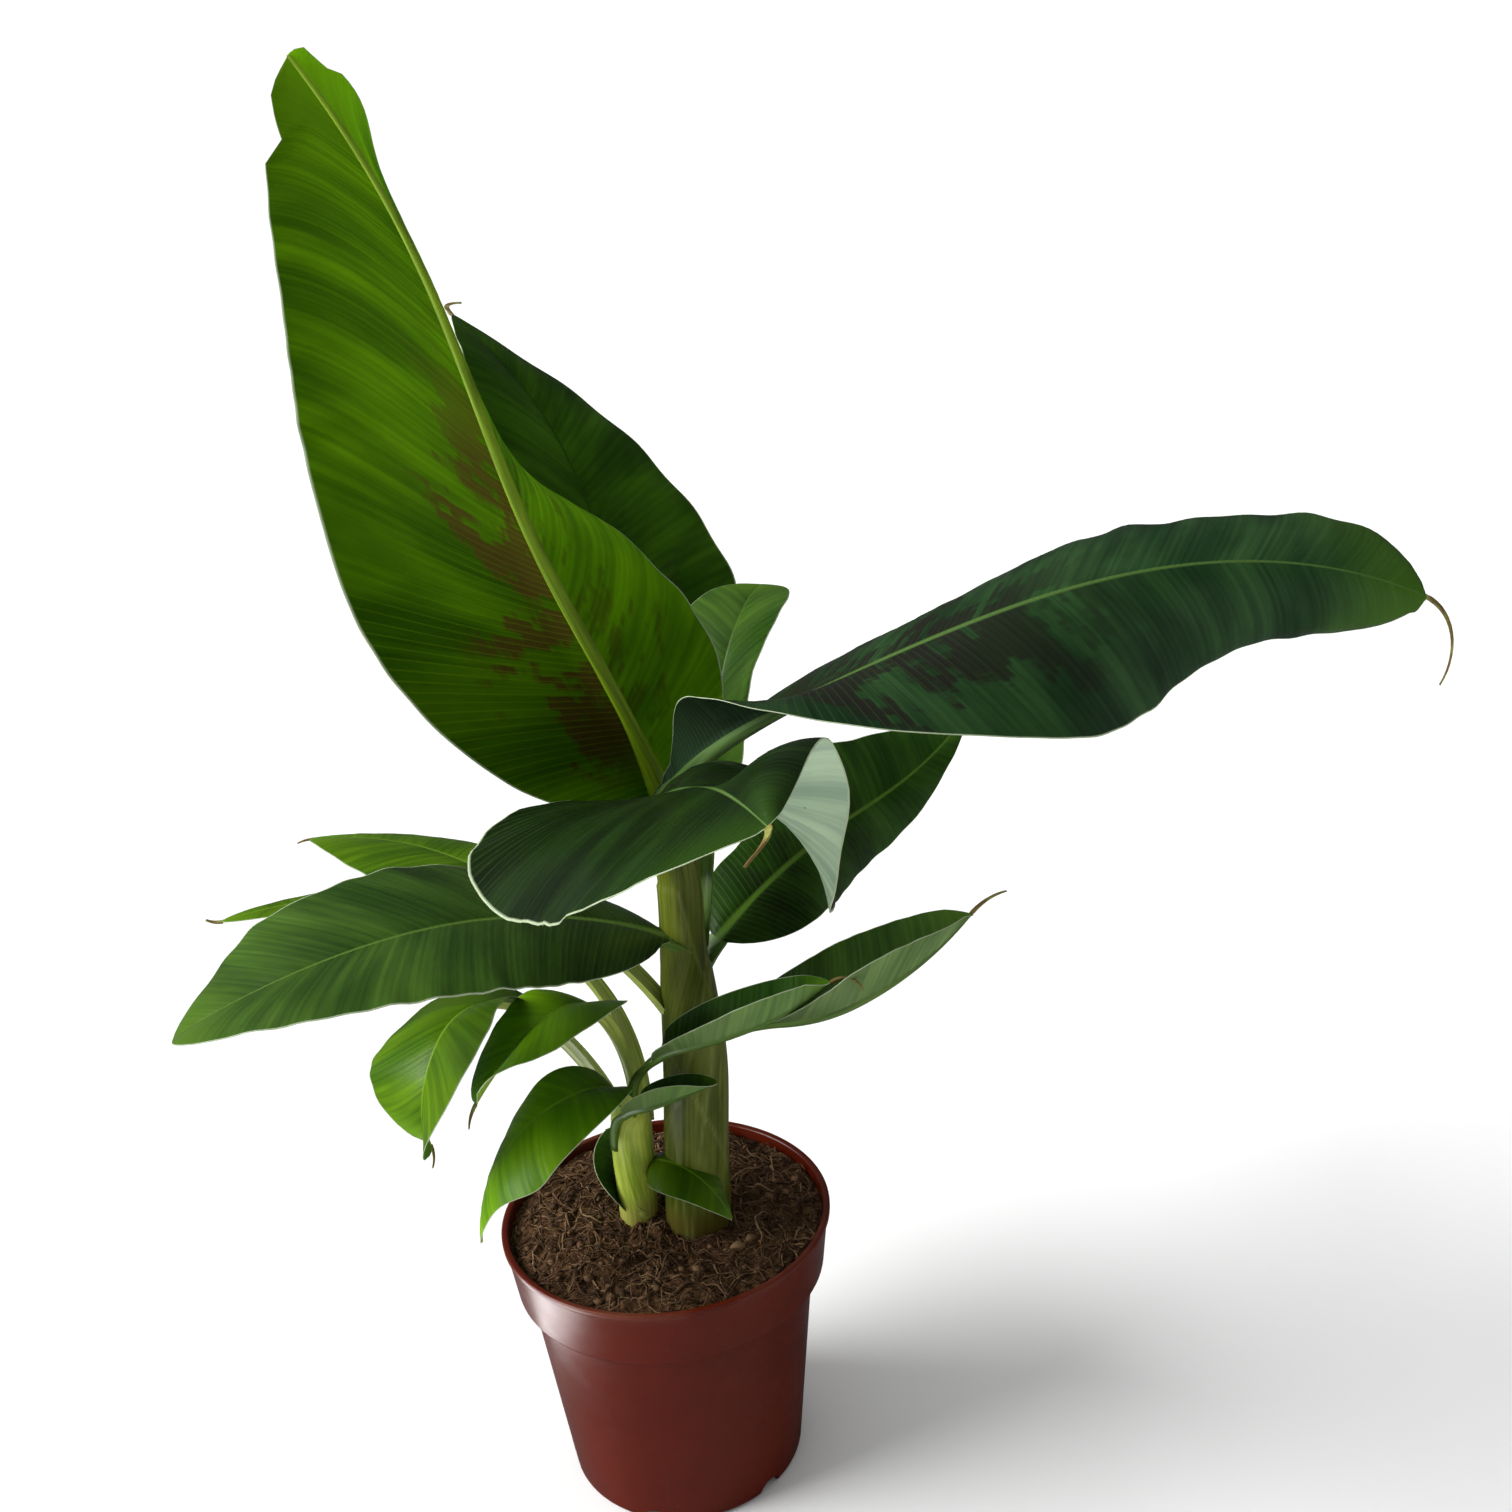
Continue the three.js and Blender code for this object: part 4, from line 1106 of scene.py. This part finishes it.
# Share of the room's light that mirrors in the plant and the pot: beyond the white floor the room is dark.
# The floor too is painted this dark where it shows in reflections, a painted shade on its reflection.
MIRRORED = 0.12
BRIGHT_SIDE = (-0.8, 0.25, 0.55)
BACKDROP = 1.05
FLOOR_SHADES = (0.87, 0.89)
KEY_STRENGTH = 4.6
KEY_SPREAD = 42
KEY_FROM = (-0.85, -0.12, 0.52)
# The shine on the pot's collar: a lamp in metres, and where it aims.
SHINE_WATTS = 0.34
SHINE_SIZE = 0.13
SHINE_PLACE = (-0.112, -0.05, 0.006)
SHINE_AT = (-0.03, -0.05, 0.092)


def make_floor():
    half = FLOOR_SIDE / 2
    corners = [(-half, -half, 0), (half, -half, 0), (half, half, 0), (-half, half, 0)]
    floor = mesh_piece("studio_floor", corners, [(0, 1, 2, 3)])
    n = Nodes("pale_floor")
    soft = n.noise(n.place(), 3.0, 2)
    colour = n.mix(n.step(soft, 0.3, 0.7), *((shade, shade, shade) for shade in FLOOR_SHADES))
    # Painted shade in reflections: to glossy rays the floor shows as dark grey, at the MIRRORED share.
    mirrored = n.add("LightPath").outputs["Is Glossy Ray"]
    colour = n.mix(mirrored, colour, (MIRRORED, MIRRORED, MIRRORED))
    floor.data.materials.append(n.finish(colour, 0.9, None, 0.0))


def make_world():
    """White studio, brighter towards the window side. Only the plain backdrop is pure white to the camera."""
    world = bpy.data.worlds.new("studio")
    bpy.context.scene.world = world
    world.use_nodes = True
    tree = world.node_tree
    tree.nodes.clear()

    def add(kind, **values):
        node = tree.nodes.new("ShaderNode" + kind)
        for label, value in values.items():
            node.inputs[label].default_value = value
        return node

    place = add("TexCoord")
    toward = add("VectorMath")
    toward.operation = "DOT_PRODUCT"
    toward.inputs[1].default_value = Vector(BRIGHT_SIDE).normalized()
    grade = add("MapRange", **{"From Min": -0.6, "To Min": WORLD_DIM, "To Max": WORLD_BRIGHT})
    ray = add("LightPath")
    mirrored = add("MapRange", **{"To Min": 1.0, "To Max": MIRRORED})
    strength = add("Math")
    strength.operation = "MULTIPLY"
    soft = add("Background", Color=(1, 1, 1, 1))
    backdrop = add("Background", Color=(1, 1, 1, 1), Strength=BACKDROP)
    pick = add("MixShader")
    out = add("OutputWorld")
    for source, target in (
        (place.outputs["Generated"], toward.inputs[0]),
        (toward.outputs["Value"], grade.inputs["Value"]),
        (ray.outputs["Is Glossy Ray"], mirrored.inputs["Value"]),
        (grade.outputs[0], strength.inputs[0]),
        (mirrored.outputs[0], strength.inputs[1]),
        (strength.outputs[0], soft.inputs["Strength"]),
        (ray.outputs["Is Camera Ray"], pick.inputs[0]),
        (soft.outputs[0], pick.inputs[1]),
        (backdrop.outputs[0], pick.inputs[2]),
        (pick.outputs[0], out.inputs["Surface"]),
    ):
        tree.links.new(source, target)


def make_key():
    lamp = bpy.data.lights.new("window", "SUN")
    lamp.energy = KEY_STRENGTH
    lamp.angle = math.radians(KEY_SPREAD)
    key = bpy.data.objects.new("window", lamp)
    key.rotation_euler = Vector(KEY_FROM).to_track_quat("Z", "Y").to_euler()
    show(key)


def make_collar_shine():
    """A low soft light beside the pot that shows only as the shine on its collar."""
    lamp = bpy.data.lights.new("table_shine", "AREA")
    lamp.energy = SHINE_WATTS
    lamp.size = SHINE_SIZE
    shine = bpy.data.objects.new("table_shine", lamp)
    shine.location = SHINE_PLACE
    shine.rotation_euler = (Vector(SHINE_PLACE) - Vector(SHINE_AT)).to_track_quat("Z", "Y").to_euler()
    shine.visible_camera = False
    shine.visible_diffuse = False
    shine.visible_transmission = False
    show(shine)


def make_camera():
    data = bpy.data.cameras.new("photograph")
    data.sensor_width = SENSOR_MM
    data.lens = FOCAL_PIXELS / PHOTO_SIDE * SENSOR_MM
    data.clip_start = 0.01
    data.clip_end = 50
    pitch, roll = math.radians(CAMERA_PITCH_DOWN), math.radians(CAMERA_ROLL)
    ahead = Vector((0, math.cos(pitch), -math.sin(pitch)))
    level = Vector((1, 0, 0))
    over = level.cross(ahead)
    right = level * math.cos(roll) + over * math.sin(roll)
    up = over * math.cos(roll) - level * math.sin(roll)
    camera = bpy.data.objects.new("photograph", data)
    turn = Matrix((right, up, -ahead)).transposed()
    camera.matrix_world = Matrix.Translation(CAMERA_PLACE) @ turn.to_4x4()
    show(camera)
    bpy.context.scene.camera = camera


make_camera()
make_floor()
make_world()
make_key()
make_collar_shine()
bpy.context.scene.view_settings.view_transform = "Standard"

pot_piece()
soil_piece(soil_material())
fibre_piece(fibre_material())
stem_piece("main_stem_sheaths", "pseudostem", PSEUDOSTEM, MAIN_SHEATHS,
           stem_material("main_sheaths", *MAIN_STEM_COLOURS))
stem_piece("sucker_sheaths", "sucker_stem", SUCKER_STEM, SUCKER_SHEATHS,
           stem_material("pale_sheaths", *SUCKER_COLOURS))
for leaf_name, leaf_values in LEAVES.items():
    leaf_piece(leaf_name, leaf_values)
